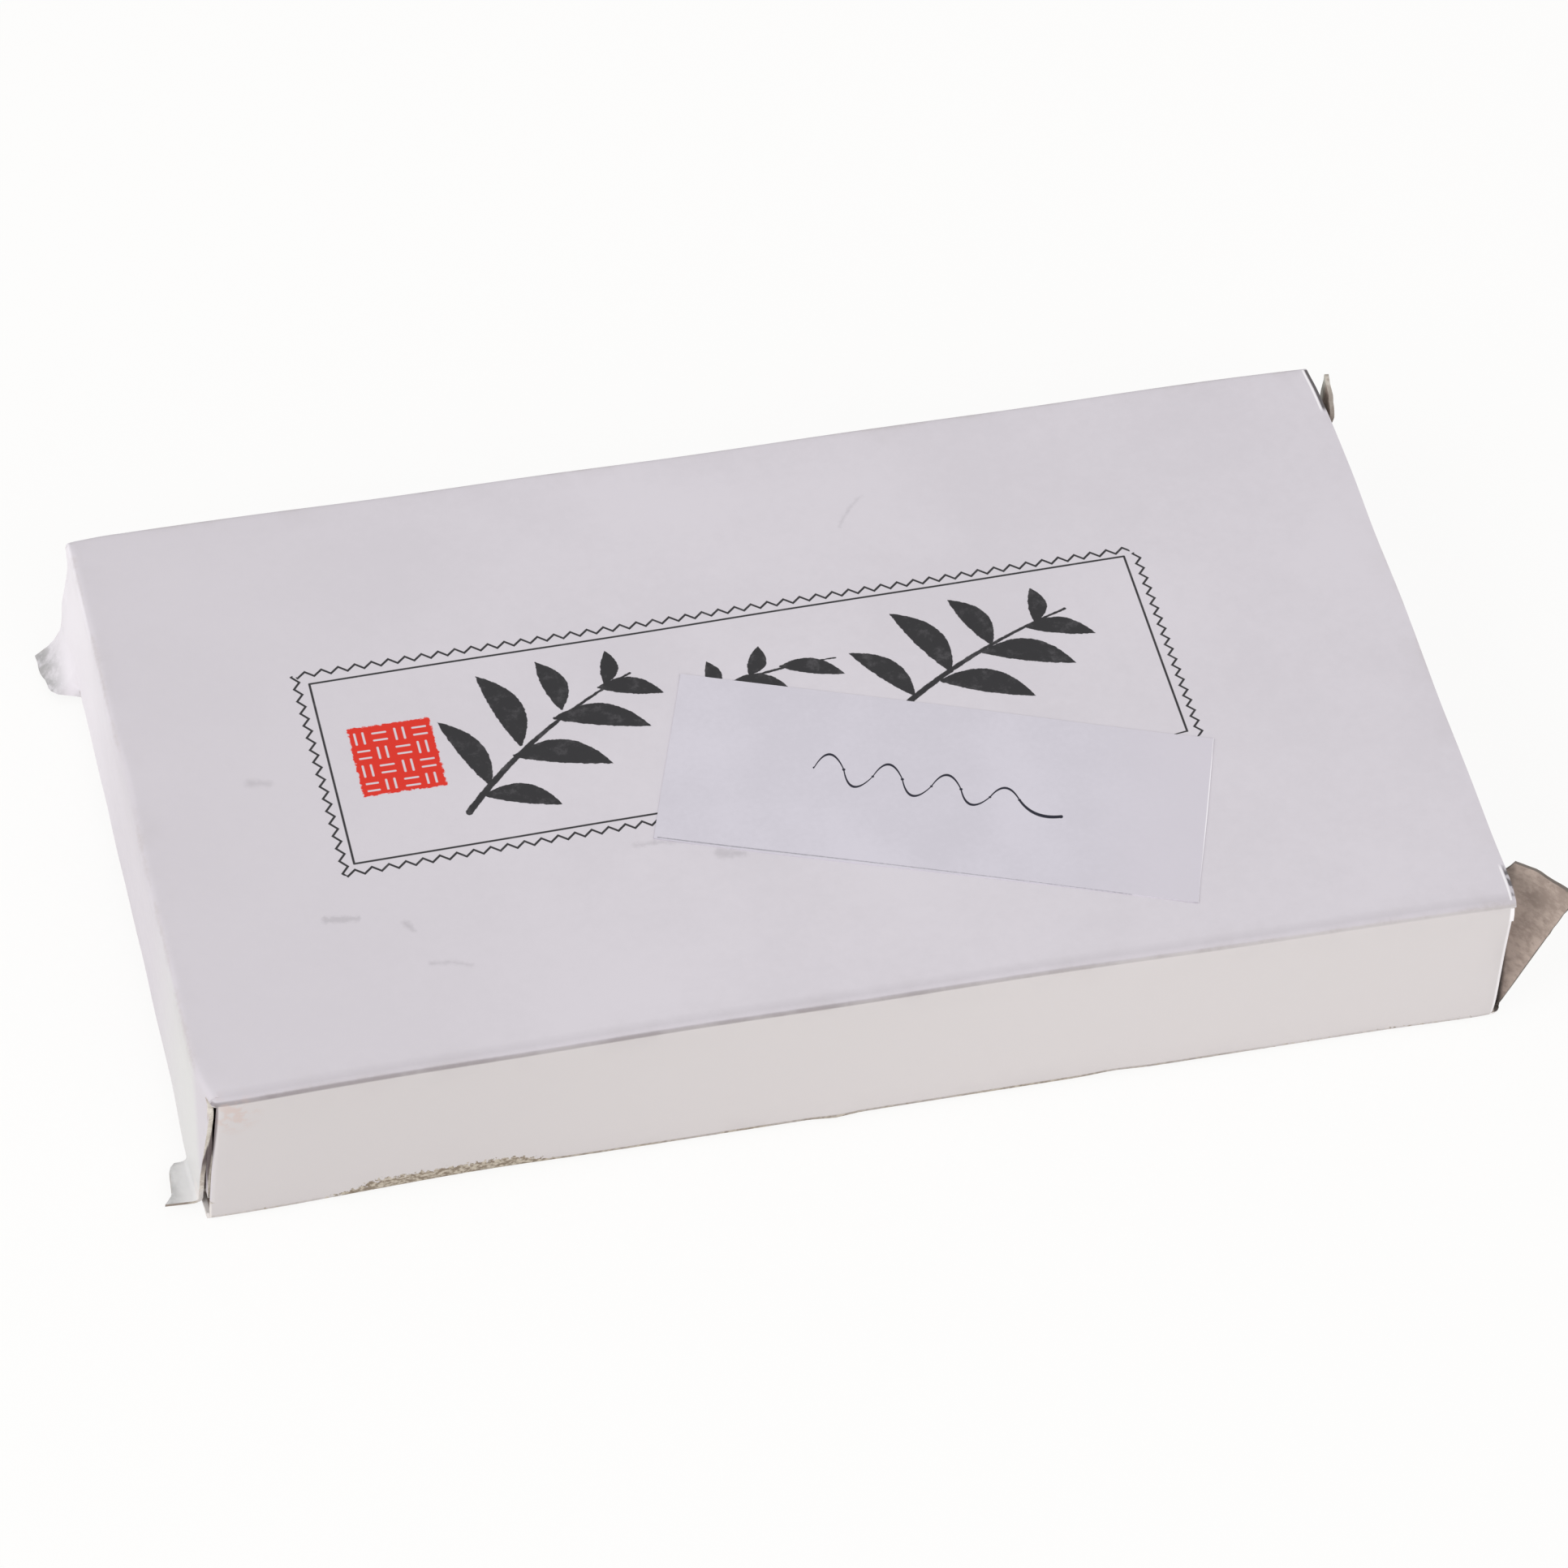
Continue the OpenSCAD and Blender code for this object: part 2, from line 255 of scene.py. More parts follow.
@dataclass
class Wear:
    """How years of handling have moved the board: one field for every piece, so that creases stay shut."""

    sizes: CartonSizes
    bow_in: float = 0.45
    bow_up: float = 0.2
    bow_reach: float = 11.0
    wave: float = 0.16
    crumple: float = 0.22
    crumple_reach: float = 4.0
    crumple_size: float = 1.7
    crumple_seed: int = 21
    lean: float = 1.0
    lean_reach: float = 3.4
    dents: list[Dent] = field(default_factory=list)

    def __post_init__(self) -> None:
        """Place the crushed corners and the small dents along the creases, and fix the crumpling."""
        noise.seed_set(self.crumple_seed)
        x, y, z = self.sizes.length / 2, self.sizes.depth / 2, self.sizes.height
        places = (
            ((-x, -y, z), 2.4, (0.1, 0.3, -0.25)),
            ((-x, y, z), 2.2, (-0.45, -0.15, -0.15)),
            ((x, y, z), 2.6, (-0.35, 0.0, 0.0)),
            ((-x, y - 1.0, 8.0), 5.5, (-0.75, 0.0, 0.0)),
            ((-x, -33.0, 3.0), 8.0, (-0.35, 0.0, 0.0)),
            ((-68, -y, 0), 14.0, (0.1, -0.55, 0.0)),
            ((70, -y, 0), 9.0, (0.0, -0.25, 0.0)),
            ((x, -y, 0.3), 1.5, (-0.15, 0.15, 0.0)),
            ((x, -y, z), 1.8, (-0.2, 0.3, -0.3)),
            ((48, y, z), 30.0, (0.0, 0.22, 0.18)),
            ((-3, -y, 0), 1.7, (0.0, -0.3, 0.0)),
            ((28, -y, 0), 2.6, (0.0, 0.15, 0.08)),
            ((-41, -y, 0), 9.0, (0.0, 0.1, 0.1)),
            ((-x, 4, z), 6.0, (0.25, 0.0, -0.2)),
            ((x, 2, z), 9.0, (0.2, 0.0, -0.25)),
        )
        self.dents = [Dent(Vector(centre), reach, Vector(push)) for centre, reach, push in places]

    def __call__(self, point: Vector) -> Vector:
        """Move one point of the new carton to where it is on the worn one.

        Args:
            point: A point of the crisp carton.

        Returns:
            The same point after wear.
        """
        half, side, height = self.sizes.length / 2, self.sizes.depth / 2, self.sizes.height
        along = max(0.0, 1 - (point.x / half) ** 2)
        front = math.exp(-((point.y + side) / self.bow_reach) ** 2) * smooth(0, height, point.z) * along
        moved = point + Vector((0, self.bow_in * front, self.bow_up * front))
        for dent in self.dents:
            moved += dent.at(point)
        off = math.hypot(point.x + half, point.y + side) / self.lean_reach
        moved.x += self.lean * point.z / height * math.exp(-off ** 2)
        moved += self.wave * self._waves(point)
        off = (point - Vector((-half, side, height))).length / self.crumple_reach
        corner = math.exp(-off ** 2)
        if corner > 0.01:
            moved += self.crumple * corner * noise.noise_vector(point / self.crumple_size)
        return moved

    def _waves(self, point: Vector) -> Vector:
        """Say how the panels swell; the waves up and inwards die out at the foot.

        Args:
            point: A point of the crisp carton.

        Returns:
            The swelling there, up to about 1 each way.
        """
        up = smooth(1.0, self.sizes.height, point.z) * noise.noise(Vector((point.x / 26, point.y / 21, 3.1)))
        in_out = smooth(0.0, 6.0, point.z) * noise.noise(Vector((point.x / 19, 7.7, point.z / 15)))
        along = 0.6 * noise.noise(Vector((point.y / 9, point.z / 8, 5.2)))
        return Vector((along, in_out, up))


# Board


class CardSheet:
    """Carton board under construction, kept as the middle layer of its thickness.

    It starts as one straight row of edges and grows from it by straight runs and folds, as a blank is
    folded up.
    """

    def __init__(self) -> None:
        """Start with no board."""
        self.bm = bmesh.new()
        self.row: list[bmesh.types.BMEdge] = []

    def start(self, a: Sequence[float], b: Sequence[float], cells: int) -> "CardSheet":
        """Lay down the row of edges from which the sheet grows.

        Args:
            a: One end of the row.
            b: Its other end.
            cells: Number of edges in the row.

        Returns:
            The sheet itself.
        """
        ends = [self.bm.verts.new(a), self.bm.verts.new(b)]
        edge = self.bm.edges.new(ends)
        if cells > 1:
            bmesh.ops.subdivide_edges(self.bm, edges=[edge], cuts=cells - 1)
        self.row = [e for e in self.bm.edges if not e.link_faces]
        return self

    def start_across(self, stretches: Sequence[tuple[float, float, int]], x: float, z: float) -> "CardSheet":
        """Lay down a row of edges across the carton, in stretches with cells of their own.

        Args:
            stretches: Where each stretch begins and ends, and its number of cells.
            x: Where the row lies along the carton.
            z: Its height.

        Returns:
            The sheet itself.
        """
        for low, high, cells in stretches:
            self.start((x, low, z), (x, high, z), cells)
        bmesh.ops.remove_doubles(self.bm, verts=self.bm.verts[:], dist=MERGED)
        self.row = [e for e in self.bm.edges if not e.link_faces]
        return self

    def _grown(self, geometry: Sequence) -> None:
        """Take the far side of what has just grown as the new row."""
        corners = {g for g in geometry if isinstance(g, bmesh.types.BMVert)}
        self.row = [g for g in geometry if isinstance(g, bmesh.types.BMEdge) and set(g.verts) <= corners]

    def run(self, step: Sequence[float], cells: int) -> "CardSheet":
        """Grow the sheet straight on from its row.

        Args:
            step: From the row to where the new one lies.
            cells: Number of faces on the way.

        Returns:
            The sheet itself.
        """
        for _ in range(cells):
            grown = bmesh.ops.extrude_edge_only(self.bm, edges=self.row)["geom"]
            corners = [g for g in grown if isinstance(g, bmesh.types.BMVert)]
            bmesh.ops.translate(self.bm, verts=corners, vec=Vector(step) / cells)
            self._grown(grown)
        return self

    def fold(self, centre: Sequence[float], axis: Sequence[float], angle: float,
             cells: int = 5) -> "CardSheet":
        """Grow a crease from the row, round a centre line.

        Args:
            centre: A point on the line that the crease turns about.
            axis: Direction of that line.
            angle: How far it turns, in degrees.
            cells: Number of faces round the crease.

        Returns:
            The sheet itself.
        """
        corners = list(dict.fromkeys(v for e in self.row for v in e.verts))
        last = bmesh.ops.spin(self.bm, geom=corners + self.row, cent=centre, axis=axis, dvec=(0, 0, 0),
                              angle=math.radians(angle), space=Matrix(), steps=cells,
                              use_merge=False, use_normal_flip=False, use_duplicate=False)["geom_last"]
        self._grown(last)
        return self

    def pick(self, test: Callable[[Vector], bool]) -> "CardSheet":
        """Choose the free edges that the sheet grows from next.

        Args:
            test: Says of an edge's middle whether the edge is one of them.

        Returns:
            The sheet itself.
        """
        self.row = [e for e in self.bm.edges
                    if e.is_boundary and test((e.verts[0].co + e.verts[1].co) / 2)]
        return self

    def trim(self, point: Sequence[float], away: Sequence[float]) -> "CardSheet":
        """Cut the sheet along a plane and drop what lies beyond it.

        Args:
            point: A point on the cut.
            away: Direction of the side that is dropped.

        Returns:
            The sheet itself.
        """
        everything = self.bm.verts[:] + self.bm.edges[:] + self.bm.faces[:]
        bmesh.ops.bisect_plane(self.bm, geom=everything, dist=ON_PLANE, plane_co=point, plane_no=away,
                               clear_outer=True)
        return self

    def score(self, cell: float, axes: Sequence[int]) -> "CardSheet":
        """Cut a flat flap into cells, so that it can curve.

        Args:
            cell: Size of a cell.
            axes: The two axes that the flap lies along.

        Returns:
            The sheet itself.
        """
        for axis in axes:
            places = [v.co[axis] for v in self.bm.verts]
            low, high = min(places), max(places)
            count = max(1, round((high - low) / cell))
            away = Vector([1.0 if i == axis else 0.0 for i in range(3)])
            for i in range(1, count):
                everything = self.bm.verts[:] + self.bm.edges[:] + self.bm.faces[:]
                bmesh.ops.bisect_plane(self.bm, geom=everything, dist=ON_PLANE,
                                       plane_co=away * (low + (high - low) * i / count), plane_no=away)
        return self

    def round_corners(self, radius: float, test: Callable[[Vector], bool]) -> "CardSheet":
        """Round the corners of a flat flap.

        Args:
            radius: Radius of the corners.
            test: Says of a corner's place whether it is rounded.

        Returns:
            The sheet itself.
        """
        corners = [v for v in self.bm.verts if test(v.co)]
        bmesh.ops.bevel(self.bm, geom=corners, offset=radius, offset_type="OFFSET", affect="VERTICES",
                        segments=7, profile=0.5, material=-1)
        return self

    def move(self, way: Move) -> "CardSheet":
        """Move every point of the sheet.

        Args:
            way: Gives a point's new place.

        Returns:
            The sheet itself.
        """
        for vertex in self.bm.verts:
            vertex.co = way(vertex.co.copy())
        return self

    def remember(self) -> "CardSheet":
        """Keep every point's place before wear, in millimetres, for wear and painted light and shade that
        follow the creases.

        Returns:
            The sheet itself.
        """
        layer = self.bm.verts.layers.float_vector.new("crisp")
        for vertex in self.bm.verts:
            vertex[layer] = vertex.co
        return self

    def piece(self, name: str, coated: Sequence[float], finishes: Sequence[Material],
              thickness: float, settled: bool = False, core: Optional[Vector] = None) -> Piece:
        """Give the sheet its thickness and make it an object.

        Args:
            name: Name of the piece.
            coated: Direction that most of the coated side looks in.
            finishes: Materials of the coated side, the inner side and the cut edge.
            thickness: Thickness of the board.
            settled: Whether the thickness is worked into the mesh at once, for a piece that bends.
            core: A point that the coated side looks away from, for a sheet that goes round it.

        Returns:
            The finished object, at the origin.
        """
        bmesh.ops.remove_doubles(self.bm, verts=self.bm.verts[:], dist=MERGED)
        bmesh.ops.recalc_face_normals(self.bm, faces=self.bm.faces[:])
        self.bm.normal_update()

        def outward(face: bmesh.types.BMFace) -> float:
            """Say how much of a face looks the way that the coated side should."""
            aim = Vector(coated) if core is None else face.calc_center_median() - core
            return face.normal.dot(aim) * face.calc_area()

        if sum(outward(face) for face in self.bm.faces) < 0:
            bmesh.ops.reverse_faces(self.bm, faces=self.bm.faces[:])
        for face in self.bm.faces:
            face.smooth = True
        for edge in self.bm.edges:
            edge.smooth = not edge.is_boundary
        bmesh.ops.scale(self.bm, vec=(MM, MM, MM), verts=self.bm.verts[:])
        mesh = bpy.data.meshes.new(name)
        self.bm.to_mesh(mesh)
        self.bm.free()
        for finish in finishes:
            mesh.materials.append(finish)
        made = bpy.data.objects.new(name, mesh)
        bpy.context.scene.collection.objects.link(made)
        shell = made.modifiers.new("board", "SOLIDIFY")
        shell.thickness = thickness * MM
        shell.offset = 0
        shell.use_even_offset = False
        shell.use_quality_normals = True
        if len(finishes) == 3:
            shell.material_offset = 1
            shell.material_offset_rim = 2
        if settled:
            settle(made)
        return made


def settle(piece: Piece) -> None:
    """Work a piece's modifiers into its mesh.

    Args:
        piece: The piece, which keeps its name and materials.
    """
    bpy.context.view_layer.update()
    ready = piece.evaluated_get(bpy.context.evaluated_depsgraph_get())
    mesh = bpy.data.meshes.new_from_object(ready)
    piece.modifiers.clear()
    piece.data = mesh


# Node desk


@dataclass(frozen=True)
class Ramp:
    """How a value changes from one place to another: both places in millimetres, and its two values."""

    start: float
    end: float
    first: float = 0.0
    last: float = 1.0


class NodeDesk:
    """Lays out nodes in one tree and joins them."""

    def __init__(self, tree: Tree) -> None:
        """Work on the tree of a material, the world or a group."""
        self.tree = tree
        self.count = 0

    def add(self, kind: str, **settings: object) -> Node:
        """Add a node.

        Args:
            kind: The node's type name, without its ShaderNode start.
            **settings: Properties to set on it.

        Returns:
            The new node.
        """
        node = self.tree.nodes.new(kind if kind.startswith("NodeGroup") else f"ShaderNode{kind}")
        node.location = (170 * (self.count // 7), -190 * (self.count % 7))
        self.count += 1
        for name, value in settings.items():
            setattr(node, name, value)
        return node

    def feed(self, socket: Socket, value: object) -> None:
        """Join a socket to another one, or set its value.

        Args:
            socket: The input to fill.
            value: An output socket or a plain value.
        """
        if isinstance(value, Socket):
            self.tree.links.new(value, socket)
        elif value is not None:
            socket.default_value = value

    def math(self, operation: str, *values: object, clamp: bool = False) -> Socket:
        """Add a Math node.

        Args:
            operation: Its operation.
            *values: Its inputs in order.
            clamp: Whether the result stays from 0 to 1.

        Returns:
            Its result.
        """
        node = self.add("Math", operation=operation, use_clamp=clamp)
        for socket, value in zip(node.inputs, values):
            self.feed(socket, value)
        return node.outputs[0]

    def vector(self, operation: str, *values: object) -> Socket:
        """Add a Vector Math node.

        Args:
            operation: Its operation.
            *values: Its inputs in order; a plain number goes to Scale.

        Returns:
            Its vector, or its number for a length or a dot product.
        """
        node = self.add("VectorMath", operation=operation)
        for slot, value in enumerate(values):
            scale = operation == "SCALE" and slot == 1
            self.feed(node.inputs["Scale" if scale else slot], value)
        gives_number = operation in ("DOT_PRODUCT", "LENGTH", "DISTANCE")
        return node.outputs["Value" if gives_number else 0]

    def parts(self, place: Socket) -> Sequence[Socket]:
        """Split a place into its three parts.

        Args:
            place: The place.

        Returns:
            Its x, y and z.
        """
        node = self.add("SeparateXYZ")
        self.feed(node.inputs[0], place)
        return node.outputs

    def both(self, *masks: object) -> Socket:
        """Mark where all of several masks meet; a plain number among them weakens the rest."""
        return functools.reduce(lambda a, b: self.math("MULTIPLY", a, b), masks)

    def either(self, *masks: object) -> Socket:
        """Mark where any of several masks is, as strongly as the strongest of them."""
        return functools.reduce(lambda a, b: self.math("MAXIMUM", a, b), masks)

    def minus(self, a: object, b: object) -> Socket:
        """Take b from a."""
        return self.math("SUBTRACT", a, b)

    def fade(self, value: object, full: object, gone: object) -> Socket:
        """Mark what lies on one side of full, fading out softly until gone."""
        return self.spread(value, full, gone, 1.0, 0.0)

    def ramp(self, value: object, way: Ramp) -> Socket:
        """Change a mask's strength along one direction."""
        return self.spread(value, way.start, way.end, way.first, way.last)

    def band(self, value: object, centre: float, half: float, soft: float) -> Socket:
        """Mark a band of values by its centre, half its full width and how far it fades out beside."""
        off = self.math("ABSOLUTE", self.minus(value, centre))
        return self.fade(off, half, half + soft)

    def spread(self, value: object, low: object, high: object, to_low: object = 0.0,
               to_high: object = 1.0, soft: bool = True) -> Socket:
        """Map one range of values to another.

        Args:
            value: What is mapped.
            low: Where the range begins.
            high: Where it ends.
            to_low: What low becomes.
            to_high: What high becomes.
            soft: Whether the way between them is eased.

        Returns:
            The mapped value.
        """
        node = self.add("MapRange", interpolation_type="SMOOTHSTEP" if soft else "LINEAR")
        for name, part in (("Value", value), ("From Min", low), ("From Max", high),
                           ("To Min", to_low), ("To Max", to_high)):
            self.feed(node.inputs[name], part)
        return node.outputs[0]

    def noise(self, place: object, scale: float, detail: float = 3.0, rough: float = 0.5) -> Socket:
        """Add a noise texture.

        Args:
            place: Where it is read.
            scale: Its scale, against millimetres.
            detail: Number of finer layers.
            rough: Weight of the finer layers.

        Returns:
            Its value, about 0.5.
        """
        node = self.add("TexNoise")
        self.feed(node.inputs["Vector"], place)
        self.feed(node.inputs["Scale"], scale)
        self.feed(node.inputs["Detail"], detail)
        self.feed(node.inputs["Roughness"], rough)
        return node.outputs[0]

    def mix(self, share: object, a: object, b: object) -> Socket:
        """Mix two colours.

        Args:
            share: How much of the second one shows.
            a: The first colour.
            b: The second colour.

        Returns:
            The mixed colour.
        """
        node = self.add("Mix", data_type="RGBA")
        self.feed(node.inputs[0], share)
        self.feed(node.inputs[6], a)
        self.feed(node.inputs[7], b)
        return node.outputs[2]

    def coats(self, colour: object, *layers: tuple[object, object]) -> Socket:
        """Lay several colours over a first one, each where its mask is.

        Args:
            colour: The colour underneath.
            *layers: The mask of each coat, and its colour as seen or as a socket, in order.

        Returns:
            The colour that shows.
        """
        for mask, coat in layers:
            joined = isinstance(coat, Socket)
            colour = self.mix(mask, colour, coat if joined else linear(*coat))
        return colour

    def group(self, tree: Tree, **values: object) -> Node:
        """Place a node group.

        Args:
            tree: The group.
            **values: Values of its inputs, with underscores for spaces.

        Returns:
            The group's node.
        """
        node = self.add("Group", node_tree=tree)
        for name, value in values.items():
            self.feed(node.inputs[name.replace("_", " ")], value)
        return node

    def millimetres(self) -> Socket:
        """Give the place on the object in millimetres."""
        place = self.add("TexCoord").outputs["Object"]
        return self.vector("SCALE", place, 1 / MM)


@dataclass(frozen=True)
class WearAndShadePlaces:
    """Where the carton is worn along its creases and edges, and where shade and highlights are painted
    there, in millimetres of the carton before wear.
    """

    line_rise: float = 0.24
    line_half: float = 0.08
    line_soft: float = 0.18
    line_to_right: Ramp = Ramp(-15.0, 70.0, 1.0, 0.35)
    line_at_left: Ramp = Ramp(-70.0, -58.0, 1.3, 1.0)
    shade_reach: float = 1.1
    shade_slope: float = 0.45
    shade_rise: tuple[float, float] = (0.2, 0.95)
    shade_start: tuple[float, float] = (0.1, 0.2)
    shade_strength: float = 0.42
    foot_line: Ramp = Ramp(0.74, 1.0, 0.6, 0.0)
    foot_line_begins: Ramp = Ramp(-36.0, -30.0)
    foot_line_thins: Ramp = Ramp(35.0, 50.0, 1.0, 0.2)
    tear_centre: float = -45.7
    tear: Ramp = Ramp(6.5, 13.5, 2.0, 0.4)
    tear_ragged: float = 3.0
    tear_rim: tuple[float, float] = (-0.05, 0.12)
    nick_centre: float = -3.2
    nick_half: float = 0.5
    nick_soft: float = 0.8
    nick: Ramp = Ramp(0.7, 1.1, 0.8, 0.0)
    foot: Ramp = Ramp(0.72, 1.0, 0.9, 0.0)
    foot_to_right: Ramp = Ramp(30.0, 45.0, 1.0, 0.25)
    foot_at_left: Ramp = Ramp(-57.0, -50.0, 0.35, 1.0)
    # Painted highlight on the front's right fold and beside the top's cut edge; painted shade at that cut
    # edge by the slits.
    fold: Ramp = Ramp(70.4, 70.6)
    rim: Ramp = Ramp(70.76, 70.9)
    rim_lit: float = 70.62
    rim_lit_half: float = 0.07
    rim_lit_soft: float = 0.1
    rim_at_back: Ramp = Ramp(32.6, 33.6, 0.0, 0.9)
    rim_at_front: Ramp = Ramp(-34.2, -35.2, 0.0, 0.8)
    specks_centre: float = -36.8
    specks_half: float = 1.8
    specks_soft: float = 0.6


@dataclass(frozen=True)
class GapPlaces:
    """Where the front left corner gapes, with painted shade in the gap, and is crushed, its pale board
    painted lighter against that shade, in millimetres.
    """

    front: Ramp = Ramp(-38.8, -39.1)
    below_rim: Ramp = Ramp(18.3, 18.9, 1.0, 0.0)
    line: Ramp = Ramp(3.0, 18.5, -71.5, -70.1)
    half_width: Ramp = Ramp(7.0, 16.0, 0.32, 0.06)
    soft: float = 0.2
    above_foot: Ramp = Ramp(2.2, 5.0)
    darkness: Ramp = Ramp(12.0, 19.0, 0.92, 0.7)
    pale_right: Ramp = Ramp(-70.9, -70.7, 1.0, 0.0)
    pale_left: Ramp = Ramp(-72.1, -71.8)
    pale_low: Ramp = Ramp(2.4, 3.6, 1.0, 0.0)
    pale_front: Ramp = Ramp(-36.0, -37.5)


class Effects:
    """The shader node groups that the finishes share. Each is built once."""

    def __init__(self, sizes: CartonSizes) -> None:
        """Build every group.

        Args:
            sizes: The carton, for wear that follows its edges.
        """
        self.sizes = sizes
        self.drawn_line = self._drawn_line()
        self.wear_and_shading = self._build_wear_and_shading(WearAndShadePlaces())
        self.corner_gap = self._corner_gap(GapPlaces())
        self.paper_grain = self._paper_grain()
        self.fibres = self._fibres()

    @staticmethod
    def _group(name: str, inputs: dict[str, object],
               outputs: Sequence[str]) -> tuple[Tree, NodeDesk, dict[str, Socket], Node]:
        """Make an empty group with its sockets.

        Args:
            name: Name of the group.
            inputs: Each input's name and its first value; a tuple makes a vector socket.
            outputs: Names of the outputs, which are numbers.

        Returns:
            The group, a desk for it, its inputs by name and its output node.
        """
        tree = bpy.data.node_groups.new(name, "ShaderNodeTree")
        for label, value in inputs.items():
            kind = "NodeSocketVector" if isinstance(value, tuple) else "NodeSocketFloat"
            made = tree.interface.new_socket(label, in_out="INPUT", socket_type=kind)
            made.default_value = value
        for label in outputs:
            tree.interface.new_socket(label, in_out="OUTPUT", socket_type="NodeSocketFloat")
        desk = NodeDesk(tree)
        entry = desk.add("NodeGroupInput")
        leaving = desk.add("NodeGroupOutput")
        return tree, desk, {label: entry.outputs[label] for label in inputs}, leaving

    def _drawn_line(self) -> Tree:
        """Build the mask of one inked line, stroke or smudge between two points.

        Returns:
            A group with the mask as its output.
        """
        tree, desk, inside, leaving = self._group(
            "drawn_line",
            {"Place": (0.0, 0.0, 0.0), "Start": (0.0, 0.0, 0.0), "End": (1.0, 0.0, 0.0),
             "Start Width": 0.3, "End Width": 0.3, "Belly": 0.0, "Bend": 0.0, "Tooth": 0.0, "Pitch": 1.9,
             "Raggedness": 0.0, "Rag": 0.5, "Softness": 0.05},
            ["Mask"])
        way = desk.vector("SUBTRACT", inside["End"], inside["Start"])
        length = desk.vector("LENGTH", way)
        rel = desk.vector("SUBTRACT", inside["Place"], inside["Start"])
        along = desk.math("DIVIDE", desk.vector("DOT_PRODUCT", rel, way), length)
        across = desk.vector("CROSS_PRODUCT", (0.0, 0.0, 1.0), way)
        off = desk.math("DIVIDE", desk.vector("DOT_PRODUCT", rel, across), length)
        share = desk.math("DIVIDE", along, length, clamp=True)
        arch = desk.both(desk.minus(1.0, share), share)
        off = desk.minus(off, desk.both(arch, 4.0, inside["Bend"]))
        half_pitch = desk.math("DIVIDE", inside["Pitch"], 2.0)
        wave = desk.math("DIVIDE", desk.math("PINGPONG", along, half_pitch), half_pitch)
        off = desk.minus(off, desk.both(desk.minus(wave, 0.5), inside["Tooth"]))
        past = desk.either(desk.minus(0.0, along), desk.minus(along, length), 0.0)
        reach = desk.math("SQRT", desk.math("ADD", desk.both(off, off), desk.both(past, past)))
        wide = desk.spread(share, 0.0, 1.0, inside["Start Width"], inside["End Width"])
        wide = desk.math("ADD", wide, desk.both(arch, 4.0, inside["Belly"]))
        ragged = desk.both(desk.minus(inside["Rag"], 0.5), inside["Raggedness"])
        edge = desk.minus(reach, desk.math("DIVIDE", wide, 2.0))
        edge = desk.math("ADD", edge, ragged)
        full = desk.minus(0.0, inside["Softness"])
        desk.feed(leaving.inputs["Mask"], desk.fade(edge, full, inside["Softness"]))
        return tree

    def _build_wear_and_shading(self, at: WearAndShadePlaces) -> Tree:
        """Build the masks of wear, painted shade and painted highlights along the carton's edges and
        creases.

        Args:
            at: Where the carton is worn.

        Returns:
            A group with the rubbed edges, the dirt beside them, the dark line of the front crease with
            painted shade above it and a darker line along the foot, the torn fibres along the bottom, a
            painted highlight on the fold at the right and beside the top's cut edge, painted shade at that
            cut edge by the slits, and the front's tint, painted for the warmer light that it gets.
        """
        tree, desk, inside, leaving = self._group(
            "wear_and_shading", {"Place": (0.0, 0.0, 0.0), "Crisp": (0.0, 0.0, 0.0), "Width": 0.7, "Amount": 0.5},
            ["Rubbed", "Dirt", "Line", "Torn", "Bright", "RimShade", "FrontLight"])
        edge = self._edge_distance(desk, inside["Place"])
        patches = desk.noise(inside["Place"], 0.16, 4.0, 0.6)
        grit = desk.noise(inside["Place"], 1.9, 5.0, 0.65)
        reach = desk.both(inside["Width"], desk.spread(patches, 0.36, 0.68, 0.25, 1.5))
        rubbed = desk.both(desk.fade(edge, 0.0, reach), desk.spread(grit, 0.36, 0.6, 0.25, 1.0))
        desk.feed(leaving.inputs["Rubbed"], desk.math("MULTIPLY", rubbed, inside["Amount"], clamp=True))
        dirt = desk.both(desk.fade(edge, 0.0, 4.5), desk.spread(patches, 0.4, 0.75))
        desk.feed(leaving.inputs["Dirt"], desk.math("MULTIPLY", dirt, inside["Amount"], clamp=True))

        x, y, z = desk.parts(inside["Crisp"])
        high, corner = self.sizes.top_z - self.sizes.bend, self.sizes.corner_y
        front = desk.fade(y, -corner - 0.2, -corner)
        line = desk.both(desk.band(z, high + at.line_rise, at.line_half, at.line_soft), front,
                         desk.ramp(x, at.line_to_right), desk.ramp(x, at.line_at_left),
                         desk.spread(patches, 0.35, 0.6, 0.75, 1.0))
        # Painted shade: a soft band that darkens the crease and the top's edge towards the line.
        onward = desk.spread(y, -corner, at.shade_reach - corner, 0.0, at.shade_slope, soft=False)
        onward = desk.math("ADD", z, onward)
        near, far = (high + rise for rise in at.shade_rise)
        shade = desk.both(desk.spread(onward, near, far, at.shade_strength, 0.0, soft=False),
                          desk.spread(z, *(high + rise for rise in at.shade_start)))
        foot_line = desk.both(desk.ramp(z, at.foot_line), front, desk.ramp(x, at.foot_line_begins),
                              desk.ramp(x, at.foot_line_thins))
        desk.feed(leaving.inputs["Line"], desk.either(line, foot_line, shade))

        ragged = desk.both(desk.minus(grit, 0.5), at.tear_ragged)
        hump = desk.ramp(desk.math("ABSOLUTE", desk.minus(x, at.tear_centre)), at.tear)
        strip = desk.minus(desk.math("ADD", z, ragged), hump)
        torn = desk.fade(strip, *at.tear_rim)
        nick = desk.both(desk.band(x, at.nick_centre, at.nick_half, at.nick_soft), desk.ramp(z, at.nick))
        foot = desk.both(desk.ramp(z, at.foot), desk.ramp(x, at.foot_to_right),
                         desk.ramp(x, at.foot_at_left), desk.spread(patches, 0.38, 0.6, 0.45, 1.0))
        desk.feed(leaving.inputs["Torn"], desk.both(desk.either(torn, nick, foot), front))
